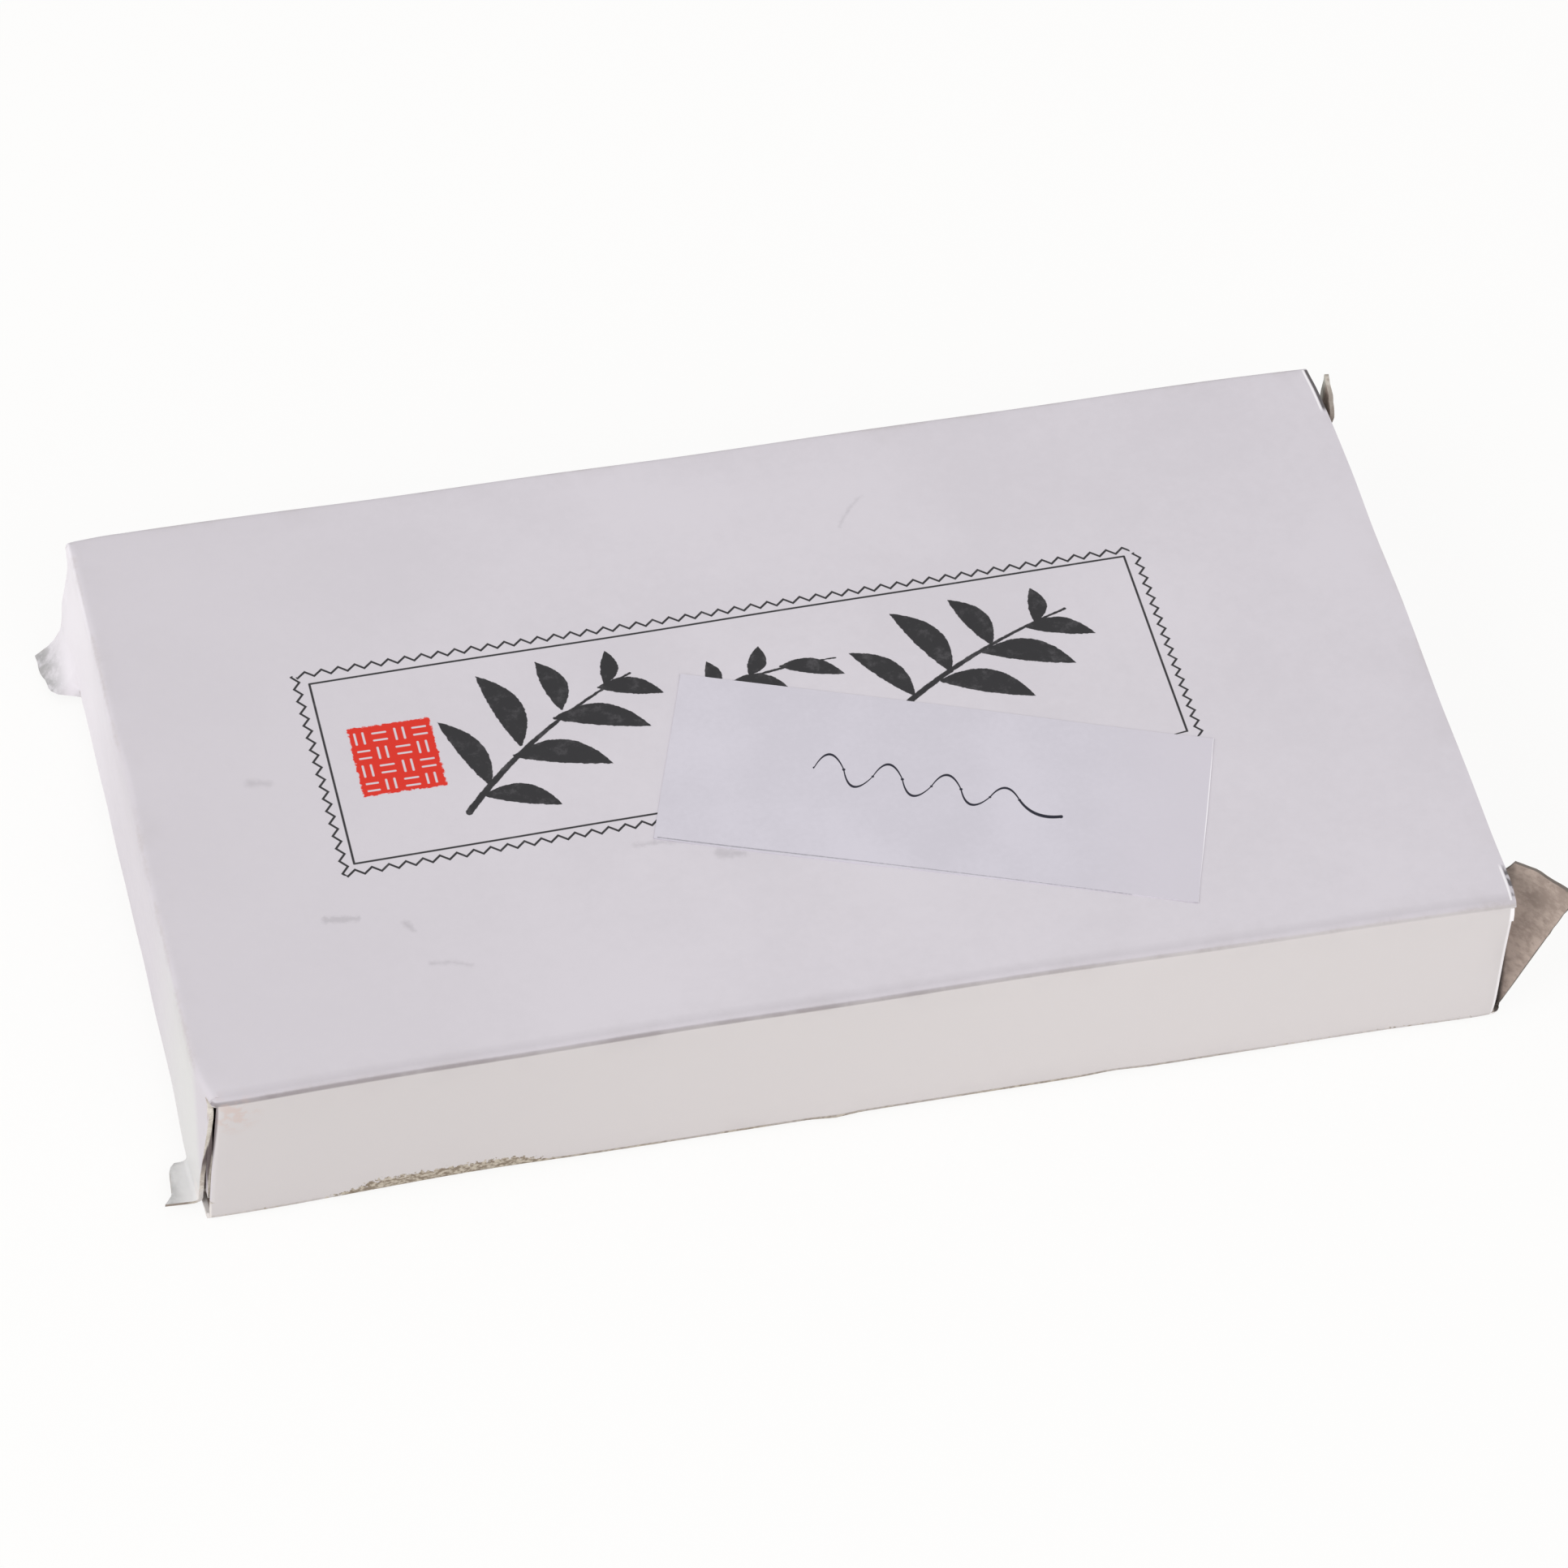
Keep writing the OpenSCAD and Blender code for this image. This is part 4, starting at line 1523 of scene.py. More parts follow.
@dataclass(frozen=True)
class CutEdge(Finish):
    """The cut edge of the board, where torn fibres show, darker towards the right, with painted shade on the
    left lid's ears and by the right lid's front ear.
    """

    sheen: float = 0.15
    relief_depth: float = 0.12
    worn_right: Ramp = Ramp(-20.0, 20.0, 0.0, 0.7)
    ear_edge_shade: Ramp = Ramp(-73.2, -72.2, 0.9, 0.0)
    worn_less_back: Ramp = Ramp(35.5, 37.5, 1.0, 0.3)
    painted_shade_outside: Ramp = Ramp(70.9, 71.1)
    painted_shade_front: Ramp = Ramp(-33.0, -34.5)
    painted_shade_up: Ramp = Ramp(1.5, 3.5, 0.85, 0.5)
    dark: Colour = (186, 176, 166)
    worn: Colour = (140, 128, 120)
    painted_shade: Colour = (66, 60, 58)

    def material(self, effects: Effects) -> Material:
        """Build the material.

        Args:
            effects: The shared groups.

        Returns:
            The material.
        """
        made, desk, shader = self.begin()
        place = desk.millimetres()
        x, y, z = desk.parts(place)
        pulp = desk.group(effects.fibres, Place=place, Scale=2.2).outputs
        patches = desk.spread(desk.noise(place, 0.35, 3.0, 0.6), 0.3, 0.55)
        share = desk.both(desk.spread(pulp["Tone"], 0.35, 0.6), patches)
        colour = desk.mix(share, linear(*self.dark), linear(*self.colour))
        # Darker towards the right; on the left lid's ears the darkening is painted shade.
        worn = desk.either(desk.ramp(x, self.worn_right), desk.ramp(x, self.ear_edge_shade))
        # Painted shade by the right lid's front ear.
        painted_shade = desk.both(desk.ramp(x, self.painted_shade_outside), desk.ramp(y, self.painted_shade_front),
                          desk.ramp(z, self.painted_shade_up))
        colour = desk.coats(colour, (desk.both(worn, desk.ramp(y, self.worn_less_back)), self.worn),
                            (painted_shade, self.painted_shade))
        desk.feed(shader.inputs["Base Color"], corner_shade(desk, effects, place, colour))
        self.relief(desk, shader, pulp["Height"])
        return made


@dataclass(frozen=True)
class LabelPaper(Finish):
    """Plain bluish paper, stuck on askew, with a row of pen marks."""

    sheen: float = 0.25
    grain_scale: float = 1.6
    grain_shade: float = 0.97
    relief_strength: float = 0.6
    fading_right: Ramp = Ramp(12.0, 28.0, 0.0, 0.8)
    # Where the label's sides are painted lighter to make up for their shade.
    long_side: Ramp = Ramp(-11.6, -11.68)
    long_side_shows: Ramp = Ramp(0.0, 24.0)
    short_side: Ramp = Ramp(29.1, 29.2)
    pen: Colour = (30, 30, 44)
    shadow: Colour = (118, 116, 124)
    like_board: Colour = (212, 207, 216)
    side: Colour = (246, 243, 248)

    def material(self, effects: Effects) -> Material:
        """Build the material.

        Args:
            effects: The shared groups.

        Returns:
            The material.
        """
        made, desk, shader = self.begin()
        place = desk.millimetres()
        grain = desk.group(effects.paper_grain, Place=place, Scale=self.grain_scale).outputs
        darker = tuple(level * self.grain_shade for level in self.colour)
        colour = desk.mix(desk.spread(grain["Mottle"], 0.35, 0.65), linear(*darker), linear(*self.colour))
        own = desk.add("Mapping", vector_type="TEXTURE")
        own.inputs["Location"].default_value = (*LABEL_CENTRE, 0.0)
        own.inputs["Rotation"].default_value = (0.0, 0.0, math.radians(LABEL_TURN))
        desk.feed(own.inputs["Vector"], place)
        flat = desk.vector("MULTIPLY", own.outputs[0], (1.0, 1.0, 0.0))
        x, y = desk.parts(flat)[:2]
        # The label's sides are painted lighter to make up for the shade that falls on them.
        side = desk.either(desk.both(desk.ramp(y, self.long_side), desk.ramp(x, self.long_side_shows)),
                           desk.ramp(x, self.short_side))
        fray = desk.noise(flat, 3.0, 3.0)
        edge = desk.both(marks_mask(desk, effects, LABEL_EDGE, flat, fray), 0.6)
        pen = marks_mask(desk, effects, PEN_MARKS, flat, fray)
        colour = desk.coats(colour, (desk.ramp(x, self.fading_right), self.like_board), (side, self.side),
                            (edge, self.shadow), (pen, self.pen))
        desk.feed(shader.inputs["Base Color"], colour)
        self.relief(desk, shader, grain["Height"])
        return made


@dataclass(frozen=True)
class HonedSlate(Finish):
    """Fine dark stone, honed by hand, with paler beds running through it."""

    relief_depth: float = 0.03
    pale: Colour = (86, 90, 92)

    def material(self, effects: Effects) -> Material:
        """Build the material.

        Args:
            effects: The shared groups.

        Returns:
            The material.
        """
        made, desk, shader = self.begin()
        place = desk.millimetres()
        beds = desk.add("TexWave", wave_type="BANDS", bands_direction="Y")
        for name, value in {"Vector": place, "Scale": 0.012, "Distortion": 9.0, "Detail": 5.0,
                            "Detail Scale": 0.5}.items():
            desk.feed(beds.inputs[name], value)
        grains = desk.noise(place, 2.6, 5.0, 0.7)
        share = desk.math("ADD", desk.both(beds.outputs["Fac"], 0.35),
                          desk.both(desk.spread(grains, 0.35, 0.7), 0.35))
        colour = desk.mix(share, linear(*self.colour), linear(*self.pale))
        desk.feed(shader.inputs["Base Color"], colour)
        gloss = desk.spread(grains, 0.3, 0.7, self.roughness - 0.1, self.roughness + 0.12)
        desk.feed(shader.inputs["Roughness"], gloss)
        self.relief(desk, shader, grains)
        return made


@dataclass
class FinishRack:
    """Every finish of the part, made once."""

    sizes: CartonSizes

    def __post_init__(self) -> None:
        """Build the shared effects and the materials."""
        effects = Effects(self.sizes)
        white = (217, 212, 219)
        self.outside = CoatedBoard("coated_board", white, 0.5).material(effects)
        self.printed = CoatedBoard("printed_board", white, 0.5, printed=True).material(effects)
        self.inside = GreyBack("grey_back", (186, 170, 160), 0.9).material(effects)
        self.edge = CutEdge("cut_edge", (226, 220, 211), 0.92).material(effects)
        self.label = LabelPaper("label_paper", (214, 210, 220), 0.55).material(effects)
        self.slate = HonedSlate("honed_slate", (44, 47, 50), 0.5).material(effects)

    @property
    def board(self) -> list[Material]:
        """Finishes of plain board, from the coated side to the cut edge."""
        return [self.outside, self.inside, self.edge]

    @property
    def top(self) -> list[Material]:
        """Finishes of the printed panel."""
        return [self.printed, self.inside, self.edge]


# The carton


@dataclass
class Assembly:
    """What each sub-assembly is built from: the carton's sizes, its wear and its finishes."""

    sizes: CartonSizes
    wear: Wear
    finishes: FinishRack

    def report(self, piece: Piece, body: str, slot: str, *nodes: str) -> Piece:
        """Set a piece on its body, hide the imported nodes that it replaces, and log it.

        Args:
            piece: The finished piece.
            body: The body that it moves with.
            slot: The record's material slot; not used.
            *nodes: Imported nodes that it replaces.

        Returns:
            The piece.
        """
        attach(piece, body)
        if nodes:
            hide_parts(*nodes)
        log.info("%s rides on %s, %d faces", piece.name, body, len(piece.data.polygons))
        return piece

    def bridge(self, piece: Piece, body: str, other: str, start: Sequence[float],
               end: Sequence[float]) -> Piece:
        """Set a crease in place, free of any body, and log the two bodies that it joins.

        Args:
            piece: The finished crease.
            body: The body at its start.
            other: The body at its end.
            start: Not used.
            end: Not used.

        Returns:
            The piece.
        """
        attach(piece, body)
        piece.parent = None
        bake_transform(piece)
        log.info("%s bends from %s to %s", piece.name, body, other)
        return piece


@dataclass
class CartonTube(Assembly):
    """The four panels round the stone, folded from one sheet of board, and the flap that closes them."""

    cell: float = 1.2
    panel_rows: int = 16
    stub: float = 0.55
    dust_low: float = 0.9
    dust_high: float = 16.9
    dust_turn: float = 88.0
    left_raise: float = 1.8
    back_slant: float = 0.3
    glue_cell: float = 2.4
    glue_thin: float = 0.98
    glue_taper: float = 1 / 3

    def build(self) -> None:
        """Build the tube and its glue flap."""
        self._tube()
        self._glue_flap()

    def _tube(self) -> None:
        """Fold the back, top, front and bottom panels from one sheet, and finish its two ends."""
        s = self.sizes
        y, low, high = s.corner_y, s.board / 2 + s.bend, s.top_z - s.bend
        along = (1, 0, 0)
        sheet = CardSheet().start((-s.panel_x, s.side_y, s.seam), (s.panel_x, s.side_y, s.seam),
                                  round(2 * s.panel_x / self.cell))
        sheet.run((0, 0, high - s.seam), self.panel_rows).fold((0, y, high), along, 90)
        for front, back, cells in reversed(s.lid_rows(End.LEFT)):
            sheet.run((0, front - back, 0), cells)
        sheet.fold((0, -y, high), along, 90).run((0, 0, low - high), self.panel_rows)
        sheet.fold((0, -y, low), along, 90)
        for front, back, cells in s.lid_rows(End.RIGHT):
            sheet.run((0, back - front, 0), cells)
        sheet.run((0, s.side_y - s.board - s.bend - s.lid_rows(End.RIGHT)[-1][1], 0), 1)
        for end in End:
            self._end(sheet, end)

        def slanted(point: Vector) -> Vector:
            """Let the top's cut end slant in towards the back corner, then wear it."""
            if point.z > high:
                point.x -= self.back_slant * smooth(30.0, s.side_y, point.y) * smooth(60.0, s.cut_x, point.x)
            return self.wear(point)

        sheet.remember().move(slanted)
        piece = sheet.piece("carton_tube_board", (0, 0, 1), self.finishes.top, s.board,
                            core=Vector((0, 0, s.height / 2)))
        self.report(piece, "carton", "carton_board", "top_panel", "front_panel", "bottom_panel",
                    "back_panel")

    def _end(self, sheet: CardSheet, end: End) -> None:
        """Finish one end of the tube: the lid's side, the cut side, the dust flaps' creases and the corners.

        Args:
            sheet: The tube's sheet.
            end: Which end.
        """
        s = self.sizes
        sign = 1 if end is End.RIGHT else -1
        half, high, low = sign * s.panel_x, s.top_z - s.bend, s.board / 2 + s.bend
        raised = self.left_raise if end is End.LEFT else 0.0
        seam = s.lid_x - s.bend - s.lid_margin

        def at(x: float, middle: Vector) -> bool:
            """Say whether an edge's middle lies at a place along the carton."""
            return abs(middle.x - x) < NEAR

        def on_level(middle: Vector, of_lid: bool) -> bool:
            """Say whether it lies on the broad panel that has this end's lid, or on the other one."""
            if (end is End.LEFT) == of_lid:
                return middle.z > high + NEAR
            return middle.z < low - NEAR and middle.y < s.side_y - NEAR

        def creased(middle: Vector) -> bool:
            """Say whether it lies on the front or back panel, where a dust flap hangs."""
            return self.dust_low + raised < middle.z < self.dust_high + raised

        sheet.pick(lambda m: at(half, m) and on_level(m, True)).run((sign * (seam - s.panel_x), 0, 0), 1)
        for side in (-1, 1):
            sheet.pick(lambda m: at(sign * seam, m) and m.y * side > s.corner_y + NEAR)
            if sheet.row:
                sheet.run((sign * s.lid_margin, 0, 0), 1)
                centre = (sign * (seam + s.lid_margin), side * s.corner_y, 0)
                sheet.fold(centre, (0, 0, 1), -side * sign * 90, 4)
        sheet.pick(lambda m: at(half, m) and on_level(m, False)).run((sign * (s.cut_x - s.panel_x), 0, 0), 1)
        sheet.pick(lambda m: at(half, m) and not creased(m)).run((sign * self.stub, 0, 0), 1)
        for side in (-1, 1):
            sheet.pick(lambda m: at(half, m) and m.y * side > 0)
            centre = (half, side * (s.side_y - s.dust_bend), 0)
            sheet.fold(centre, (0, 0, 1), -side * sign * self.dust_turn, 4)

    def _glue_flap(self) -> None:
        """Build the flap that is glued inside the back panel."""
        s = self.sizes
        half = s.length / 2 - s.glue_inset
        y = s.side_y - s.board
        z = s.board / 2
        cells = round(2 * half / self.glue_cell)
        sheet = CardSheet().start((-half, y - s.bend, z), (half, y - s.bend, z), cells)
        sheet.fold((0, y - s.bend, z + s.bend), (1, 0, 0), 90).run((0, 0, s.glue_width - z - s.bend), 6)
        for end in (-1, 1):
            sheet.trim((end * half, y, s.bend + z), (end, 0, self.glue_taper))
        sheet.move(self.wear)
        piece = sheet.piece("glue_flap_board", (0, 1, 0), self.finishes.board, s.board * self.glue_thin)
        self.report(piece, "carton", "carton_board", "glue_flap")


@dataclass(frozen=True)
class Ear:
    """A lid's ear beside its slit: how far it stands past the crease, and how its rim is worn."""

    rise: float
    frayed: float
    crumpled: float
    lip: tuple[float, float, float, float] = (1.0, 1.0, 1.0, 1.0)
    cover: float = 0.0
    tapered: float = 0.0

    def standing(self, share: float) -> float:
        """Give how much of the rise is left at one place across the ear.

        Args:
            share: How far across the ear, from 0 at the slit's end to 1 at the lid's side edge.

        Returns:
            A share of the rise, read from the lip, which is given at four places.
        """
        places = (0.0, 0.2, 0.8, 1.0)
        i = 0 if share < places[1] else 1 if share < places[2] else 2
        way = min(1.0, max(0.0, (share - places[i]) / (places[i + 1] - places[i])))
        return self.lip[i] + (self.lip[i + 1] - self.lip[i]) * way

    def bend(self, height: float, share: float, crease: float) -> tuple[float, float]:
        """Give how far out a point is bent, and its new height; a plain ear stays flat."""
        return 0.0, height


@dataclass(frozen=True)
class FlaredEar(Ear):
    """An ear that flares outwards as a cone from the lid's foot."""

    flare: float = 5.4
    curl: float = 0.6

    def bend(self, height: float, share: float, crease: float) -> tuple[float, float]:
        """Bend the board outwards as a cone.

        Args:
            height: Height over the lid's foot.
            share: How far across the ear.
            crease: Height of the tuck crease over the lid's foot.

        Returns:
            How far out the point goes, and its new height.
        """
        up = height / crease
        off_fold = 1 - (1 - share) / up if up > 0 else 0.0
        if off_fold <= 0:
            return 0.0, height
        out = self.flare * up * off_fold ** self.curl
        return out, math.sqrt(max(0.0, height ** 2 - out ** 2))


@dataclass(frozen=True)
class RolledEar(Ear):
    """An ear that is rolled outwards near its free edge, from its slit's end to the lid's side edge."""

    start: tuple[float, float] = (14.0, 11.0)
    radius: tuple[float, float] = (5.0, 8.7)
    turn: float = 55.0

    def bend(self, height: float, share: float, crease: float) -> tuple[float, float]:
        """Roll the board outwards.

        Args:
            height: Height over the lid's foot.
            share: How far across the ear.
            crease: Height of the tuck crease over the lid's foot.

        Returns:
            How far out the point goes, and its new height.
        """
        across = math.sqrt(max(share, 0.0))
        start = self.start[0] + (self.start[1] - self.start[0]) * across
        radius = self.radius[0] + (self.radius[1] - self.radius[0]) * across
        past = height - start
        if past <= 0:
            return 0.0, height
        angle = min(past / radius, math.radians(self.turn))
        rest = past - radius * angle
        out = radius * (1 - math.cos(angle)) + rest * math.sin(angle)
        up = start + radius * math.sin(angle) + rest * math.cos(angle)
        loose = smooth(0.0, 0.1, share)
        return out * loose, height + (up - height) * loose


@dataclass
class CartonEnd(Assembly):
    """One end of the carton: its lid with two bent ears, its tuck flap, two dust flaps and the creases.

    It is built as the right end, and turned over for the left one.
    """

    end: End = End.RIGHT
    front_ear: Ear = FlaredEar(1.8, 0.16, 0.08, lip=(0.5, 0.6, 0.9, 1.0))
    back_ear: Ear = FlaredEar(1.8, 0.16, 0.1, lip=(0.4, 0.5, 0.7, 0.75), flare=1.15)
    slit_width: float = 0.3
    tuck_length: float = 11.0
    tuck_corner: float = 6.0
    tuck_side: float = 1.0
    tuck_sag: float = 0.25
    tuck_cell: float = 1.5
    dust_reach: float = 26.0
    dust_taper: float = 2.0
    dust_corner: float = 3.0
    dust_rise: float = 0.3
    dust_drop: float = 0.9
    dust_lean: float = 0.1
    dust_cell: float = 2.0
    ear_cell: float = 0.25
    ear_keep: float = 0.1
    seed: float = 0.0

    @property
    def foot(self) -> float:
        """Height at which the lid's flat board begins, past its crease."""
        return self.sizes.board / 2 + self.sizes.bend + self.sizes.lid_margin

    @property
    def crease_z(self) -> float:
        """Height of the tuck crease's lower edge, where the lid's middle board ends."""
        return self.sizes.tuck_z - self.sizes.board / 2 - self.sizes.seam

    def build(self) -> None:
        """Build the end piece by piece."""
        self._lid_crease()
        if self.end is End.RIGHT:
            self._lid(("middle",), f"{self.end.value}_lid_board", True)
            self._soft_ear("front")
            self._soft_ear("back")
        else:
            self._lid(("front", "middle", "back"), f"{self.end.value}_lid_board", True)
        self._tuck_crease()
        self._tuck_flap()
        self._dust_flap("front")
        self._dust_flap("back")

    def turned(self, point: Vector) -> Vector:
        """Turn a point of the right end's drawing for this end, without wear."""
        return point if self.end is End.RIGHT else Vector((-point.x, point.y, self.sizes.height - point.z))

    def place(self, point: Vector) -> Vector:
        """Put a point of the right end's drawing where it belongs, and wear it."""
        return self.wear(self.turned(point))

    def way(self, x: float, y: float, z: float) -> Vector:
        """Turn a direction of the right end's drawing for this end."""
        return Vector((x, y, z)) if self.end is End.RIGHT else Vector((-x, y, -z))

    def bent(self, point: Vector) -> Vector:
        """Bend an ear outwards, fray its rim and crumple it.

        Args:
            point: A point of the flat lid.

        Returns:
            Where it stands on the bent one.
        """
        s = self.sizes
        first, last = s.slits(self.end)
        rows = s.lid_rows(self.end)
        side = -1 if point.y < 0 else 1
        inner, outer = (first, rows[0][0]) if side < 0 else (last, rows[2][1])
        share = (point.y - inner) / (outer - inner)
        if share < -1e-6:
            return point
        ear = self.front_ear if side < 0 else self.back_ear
        crease = s.tuck_z - s.board / 2 - self.foot
        height = point.z - self.foot
        up = height / crease
        if up > 1:
            height = crease + (height - crease) * ear.standing(share)
        full = abs(s.lid_centre(self.end) + side * s.lid_width / 2 - inner)
        width = abs(outer - inner) + (full - abs(outer - inner)) * min(up, 1.0)
        width += ear.cover * smooth(0.0, 0.08, up) * (1 - min(up, 1.0)) - ear.tapered * smooth(0.1, 0.8, up)
        out, height = ear.bend(height, share, crease)
        rim = max(smooth(0.8, 1.0, share), smooth(0.9, 1.1, up)) * smooth(0.55, 0.9, up)
        y, z = inner + side * share * width, self.foot + height
        fray = 0.5 + noise.noise(Vector((z / 0.8, y / 0.7, self.seed)))
        y -= side * ear.frayed * rim * fray * smooth(0.5, 1.0, share)
        z -= ear.frayed * rim * (0.4 + noise.noise(Vector((y / 0.55, self.seed, 4.4))))
        loose = smooth(0.0, 0.3, share) * smooth(0.4, 1.0, up)
        out += ear.crumpled * loose * 2 * noise.noise(Vector((y / 1.9, z / 2.3, self.seed)))
        return Vector((point.x + out, y, z))

    def _lid_part(self, sheet: CardSheet, part: str) -> None:
        """Add one part of the lid's flat sheet, drawn at the right end.

        Args:
            sheet: The sheet to add it to.
            part: Front, middle or back.
        """
        s = self.sizes
        low, high, cells = s.lid_rows(self.end)[("front", "middle", "back").index(part)]
        sheet.start((s.lid_x, low, self.foot), (s.lid_x, high, self.foot), cells)
        sheet.run((0, 0, self.crease_z - self.foot), 20)
        if part != "middle":
            ear = self.front_ear if part == "front" else self.back_ear
            past = s.board + ear.rise + s.seam
            sheet.run((0, 0, past), max(5, round(past / self.ear_cell)))

    def _lid(self, parts: Sequence[str], name: str, main: bool) -> Piece:
        """Build the lid, or one of its ears.

        Args:
            parts: The parts that it has.
            name: Name of the piece.
            main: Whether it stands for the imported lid.

        Returns:
            The piece.
        """
        sheet = CardSheet()
        for part in parts:
            self._lid_part(sheet, part)
        bmesh.ops.remove_doubles(sheet.bm, verts=sheet.bm.verts[:], dist=MERGED)
        sheet.move(self.bent).move(self.place)
        body = f"{self.end.value}_lid"
        piece = sheet.piece(name, self.way(1, 0, 0), self.finishes.board, self.sizes.board,
                            settled=not main)
        return self.report(piece, body, "carton_board", *([body] if main else []))

    def _soft_ear(self, part: str) -> None:
        """Build an ear as a piece of its own, with a mesh of its own.

        Args:
            part: Front or back.
        """
        ear = self._lid((part,), f"{self.end.value}_{part}_ear", False)
        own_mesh(ear)

    def _lid_crease(self) -> None:
        """Build the crease that the lid turns on."""
        s = self.sizes
        x, z = s.lid_x - s.bend, s.board / 2
        sheet = CardSheet().start_across(s.lid_rows(self.end), x - s.lid_margin, z)
        sheet.run((s.lid_margin, 0, 0), 1).fold((x, 0, z + s.bend), (0, 1, 0), -90, 6)
        sheet.run((0, 0, s.lid_margin), 1).move(self.place)
        piece = sheet.piece(f"{self.end.value}_lid_crease", self.way(1, 0, -1), self.finishes.board, s.board,
                            settled=True)
        self.bridge(piece, "carton", f"{self.end.value}_lid", self._spot(x, z),
                    self._spot(s.lid_x, z + s.bend))

    def _spot(self, x: float, z: float) -> Vector:
        """Place a point in the carton's middle plane, without its wear."""
        return self.turned(Vector((x, 0, z)))

    def _tuck_crease(self) -> None:
        """Build the crease between the lid and its tuck flap."""
        s = self.sizes
        first, last = s.slits(self.end)
        z = self.crease_z
        gap = self.slit_width / 2
        sheet = CardSheet().start((s.lid_x, first + gap, z), (s.lid_x, last - gap, z), 56)
        sheet.fold((s.lid_x - s.tuck_bend, 0, z), (0, 1, 0), -90, 5).move(self.place)
        piece = sheet.piece(f"{self.end.value}_tuck_crease", self.way(1, 0, 1), self.finishes.board, s.board,
                            settled=True)
        self.bridge(piece, f"{self.end.value}_lid", f"{self.end.value}_tuck_flap",
                    self._spot(s.lid_x, z), self._spot(s.lid_x - s.tuck_bend, z + s.tuck_bend))

    def _tuck_flap(self) -> None:
        """Build the flap that is tucked in behind the panel."""
        s = self.sizes
        first, last = (edge - side * (self.tuck_side - s.slit)
                       for edge, side in zip(s.slits(self.end), (-1, 1)))
        root = s.lid_x - s.tuck_bend
        tip = s.lid_x - s.board / 2 - self.tuck_length
        z = self.crease_z + s.tuck_bend
        sheet = CardSheet().start((root, first, z), (root, last, z), 1).run((tip - root, 0, 0), 1)
        sheet.round_corners(self.tuck_corner, lambda corner: abs(corner.x - tip) < NEAR)
        sheet.score(self.tuck_cell, (0, 1))

        def sagged(point: Vector) -> Vector:
            """Let the flap hang a little towards its free edge."""
            drop = self.tuck_sag * ((root - point.x) / (root - tip)) ** 2
            return self.turned(Vector((point.x, point.y, point.z - drop)))

        sheet.move(sagged)
        name = f"{self.end.value}_tuck_flap"
        self.report(sheet.piece(f"{name}_board", self.way(0, 0, 1), self.finishes.board, s.board),
                    name, "carton_board", name)

    def _dust_flap(self, part: str) -> None:
        """Build a dust flap, folded in behind the lid.

        Args:
            part: Front or back.
        """
        s = self.sizes
        side = -1 if part == "front" else 1
        x = s.lid_x - s.dust_inset
        low = s.board + self.dust_rise
        high = s.tuck_z - s.board / 2 - self.dust_drop
        root = side * (s.side_y - s.dust_bend)
        tip = side * (s.side_y - self.dust_reach)
        sheet = CardSheet().start((x, root, low), (x, root, high), 1)
        sheet.run((0, tip - root, 0), 1)
        ends = [v for v in sheet.bm.verts if abs(v.co.y - tip) < NEAR]
        for vertex in ends:
            vertex.co.z += self.dust_taper if vertex.co.z < (low + high) / 2 else -self.dust_taper
        sheet.round_corners(self.dust_corner, lambda corner: abs(corner.y - tip) < NEAR)
        sheet.score(self.dust_cell, (1, 2))

        def lean(point: Vector) -> Vector:
            """Let the flap lean in a little towards its free edge."""
            share = (point.y - root) / (tip - root)
            return self.turned(Vector((point.x - self.dust_lean * share ** 2, point.y, point.z)))

        sheet.move(lean)
        name = f"{self.end.value}_{part}_dust_flap"
        self.report(sheet.piece(f"{name}_board", self.way(1, 0, 0), self.finishes.board, s.board),
                    name, "carton_board", name)


@dataclass
class PaperLabel(Assembly):
    """The plain paper label, stuck askew on the top."""

    length: float = 58.5
    width: float = 23.5
    thickness: float = 0.1
    glue: float = 0.005
    lift: float = 0.03

    def build(self) -> None:
        """Lay the label on the worn top panel."""
        s = self.sizes
        a, b = self.length / 2, self.width / 2
        sheet = CardSheet().start((-a, -b, 0), (a, -b, 0), 50).run((0, self.width, 0), 20)
        middle = Vector((*LABEL_CENTRE, s.height + self.thickness / 2 + self.glue))
        place = Matrix.Translation(middle) @ Matrix.Rotation(math.radians(LABEL_TURN), 4, "Z")

        def stuck(point: Vector) -> Vector:
            """Lift the corners a little, and lay the point on the panel."""
            corner = smooth(0.82, 1.0, abs(point.x) / a) * smooth(0.7, 1.0, abs(point.y) / b)
            return self.wear(place @ (point + Vector((0, 0, self.lift * corner))))

        sheet.move(stuck)
        piece = sheet.piece("paper_label_sheet", (0, 0, 1), [self.finishes.label], self.thickness)
        self.report(piece, "carton", "label_paper", "paper_label")


@dataclass
class InkStone(Assembly):
    """The slab of slate inside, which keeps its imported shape."""

    def build(self) -> None:
        """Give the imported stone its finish."""
        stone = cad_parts["ink_stone"]
        stone.data.materials.clear()
        stone.data.materials.append(self.finishes.slate)
        log.info("ink_stone keeps its packed mesh")


# The studio


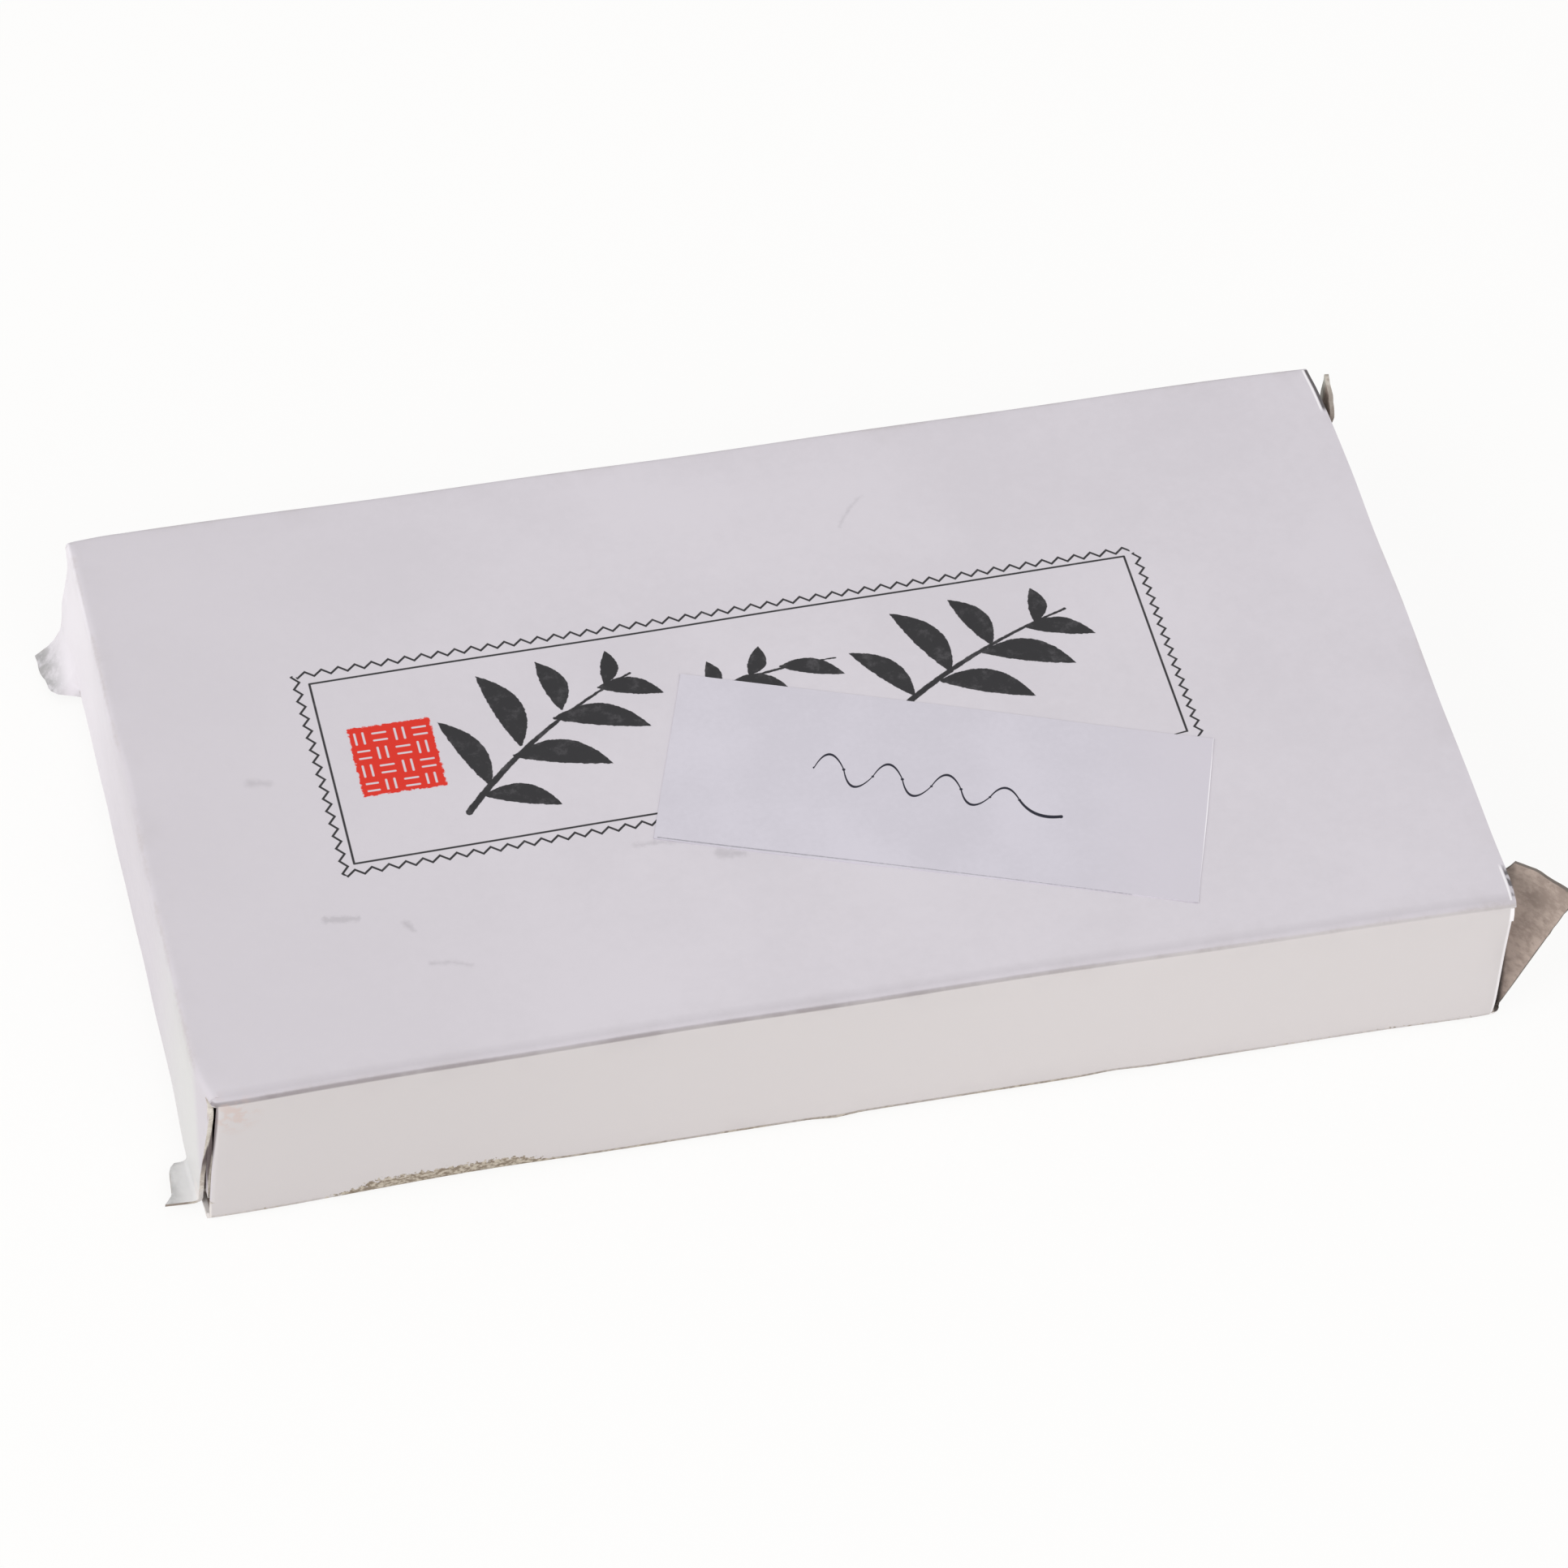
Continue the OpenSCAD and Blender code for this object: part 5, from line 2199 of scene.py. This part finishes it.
@dataclass
class Studio:
    """The pale floor, the soft light and the camera."""

    eye: Vector = Vector((-0.15324, -0.48542, 0.61151))
    ahead: Vector = Vector((0.19474103, 0.61479971, -0.76426256))
    right: Vector = Vector((0.97034343, -0.23452133, 0.05859509))
    lens: float = 165.31
    sensor: float = 36.0
    sky_light: float = 0.66
    sky_colour: Colour = (1.0, 0.995, 0.99)
    floor_half: float = 3.0
    floor_drop: float = 0.00005
    floor_colour: Colour = (0.92, 0.905, 0.875)
    floor_glow: Colour = (1.0, 0.998, 0.994)
    floor_glow_share: float = 0.88

    def build(self) -> None:
        """Set the floor, the lamps, the world and the camera."""
        self._camera()
        self._world()
        self._floor()
        self._lamp("key_lamp", (-1.0, -0.35, 0.75), 0.9, 6.1)
        self._lamp("fill_lamp", (0.25, -1.0, 0.75), 0.9, 3.7)
        bpy.context.scene.view_settings.view_transform = "Standard"

    def _camera(self) -> None:
        """Set the camera where the photograph was taken from."""
        lens = bpy.data.cameras.new("camera")
        lens.lens, lens.sensor_width, lens.sensor_fit = self.lens, self.sensor, "HORIZONTAL"
        lens.clip_start, lens.clip_end = 0.01, 20
        camera = bpy.data.objects.new("camera", lens)
        back = -self.ahead.normalized()
        side = (self.right - back * self.right.dot(back)).normalized()
        up = back.cross(side)
        camera.matrix_world = Matrix.Translation(self.eye) @ Matrix((side, up, back)).transposed().to_4x4()
        bpy.context.scene.collection.objects.link(camera)
        bpy.context.scene.camera = camera

    @staticmethod
    def _seen(desk: NodeDesk) -> Socket:
        """Say where a ray comes from the camera, a mirror or glass."""
        rays = desk.add("LightPath").outputs
        return desk.either(rays["Is Camera Ray"], rays["Is Glossy Ray"], rays["Is Transmission Ray"])

    def _world(self) -> None:
        """Light the scene evenly, and show white behind it."""
        world = bpy.data.worlds.new("studio")
        bpy.context.scene.world = world
        world.use_nodes = True
        desk = NodeDesk(world.node_tree)
        plain = world.node_tree.nodes["Background"]
        plain.inputs["Color"].default_value = (*self.sky_colour, 1.0)
        plain.inputs["Strength"].default_value = self.sky_light
        white = desk.add("Background")
        white.inputs["Strength"].default_value = 1.0
        white.inputs["Color"].default_value = (1, 1, 1, 1)
        mixed = desk.add("MixShader")
        desk.feed(mixed.inputs[0], self._seen(desk))
        desk.feed(mixed.inputs[1], plain.outputs[0])
        desk.feed(mixed.inputs[2], white.outputs[0])
        desk.feed(world.node_tree.nodes["World Output"].inputs["Surface"], mixed.outputs[0])

    def _floor(self) -> None:
        """Lay a pale floor that keeps a faint shadow."""
        bm = bmesh.new()
        bmesh.ops.create_grid(bm, x_segments=1, y_segments=1, size=self.floor_half)
        mesh = bpy.data.meshes.new("floor")
        bm.to_mesh(mesh)
        bm.free()
        floor = bpy.data.objects.new("floor", mesh)
        floor.location.z = -self.floor_drop
        bpy.context.scene.collection.objects.link(floor)
        made = bpy.data.materials.new("pale_floor")
        made.use_nodes = True
        desk = NodeDesk(made.node_tree)
        shader = made.node_tree.nodes["Principled BSDF"]
        shader.inputs["Base Color"].default_value = (*self.floor_colour, 1)
        shader.inputs["Roughness"].default_value = 0.9
        shader.inputs["Specular IOR Level"].default_value = 0.0
        glow = desk.add("Emission")
        glow.inputs["Color"].default_value = (*self.floor_glow, 1)
        mixed = desk.add("MixShader")
        desk.feed(mixed.inputs[0], desk.both(self._seen(desk), self.floor_glow_share))
        desk.feed(mixed.inputs[1], shader.outputs[0])
        desk.feed(mixed.inputs[2], glow.outputs[0])
        desk.feed(made.node_tree.nodes["Material Output"].inputs["Surface"], mixed.outputs[0])
        mesh.materials.append(made)
        floor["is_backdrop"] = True

    def _lamp(self, name: str, place: Sequence[float], size: float, power: float) -> None:
        """Hang one soft lamp that looks at the carton.

        Args:
            name: Name of the lamp.
            place: Where it hangs, in metres.
            size: Side of its square face.
            power: Its power in watts.
        """
        light = bpy.data.lights.new(name, "AREA")
        light.shape, light.size, light.energy = "SQUARE", size, power
        lamp = bpy.data.objects.new(name, light)
        lamp.location = place
        lamp.rotation_euler = (-Vector(place)).to_track_quat("-Z", "Y").to_euler()
        bpy.context.scene.collection.objects.link(lamp)


def write_sizes(packed: object) -> None:
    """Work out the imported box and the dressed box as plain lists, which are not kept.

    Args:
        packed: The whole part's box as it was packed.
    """
    def plain(box: object) -> list[list[float]]:
        """Turn a box into plain lists."""
        return [[float(n) for n in corner] for corner in box]

    {"cad": plain(packed), "visual": plain(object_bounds())}


def main() -> None:
    """Build the boxed ink stone and its studio."""
    logging.basicConfig(level=logging.INFO, format="%(message)s")
    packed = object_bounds()
    sizes = CartonSizes.from_frame()
    wear = Wear(sizes)
    finishes = FinishRack(sizes)
    Studio().build()
    InkStone(sizes, wear, finishes).build()
    CartonTube(sizes, wear, finishes).build()
    CartonEnd(sizes, wear, finishes, seed=1.7).build()
    CartonEnd(sizes, wear, finishes, end=End.LEFT, seed=8.3,
              front_ear=RolledEar(3.8, 0.12, 0.05, lip=(0.39, 0.63, 0.77, 1.0), cover=0.5, tapered=0.45,
                                  start=(16.5, 16.75), radius=(0.7, 0.7), turn=92),
              back_ear=RolledEar(2.1, 0.26, 0.12, lip=(0.45, 0.9, 1.0, 1.0), start=(11.9, 10.5),
                                 radius=(7.6, 8.7), turn=58),
              ).build()
    PaperLabel(sizes, wear, finishes).build()
    write_sizes(packed)


if __name__ == "__main__":
    main()
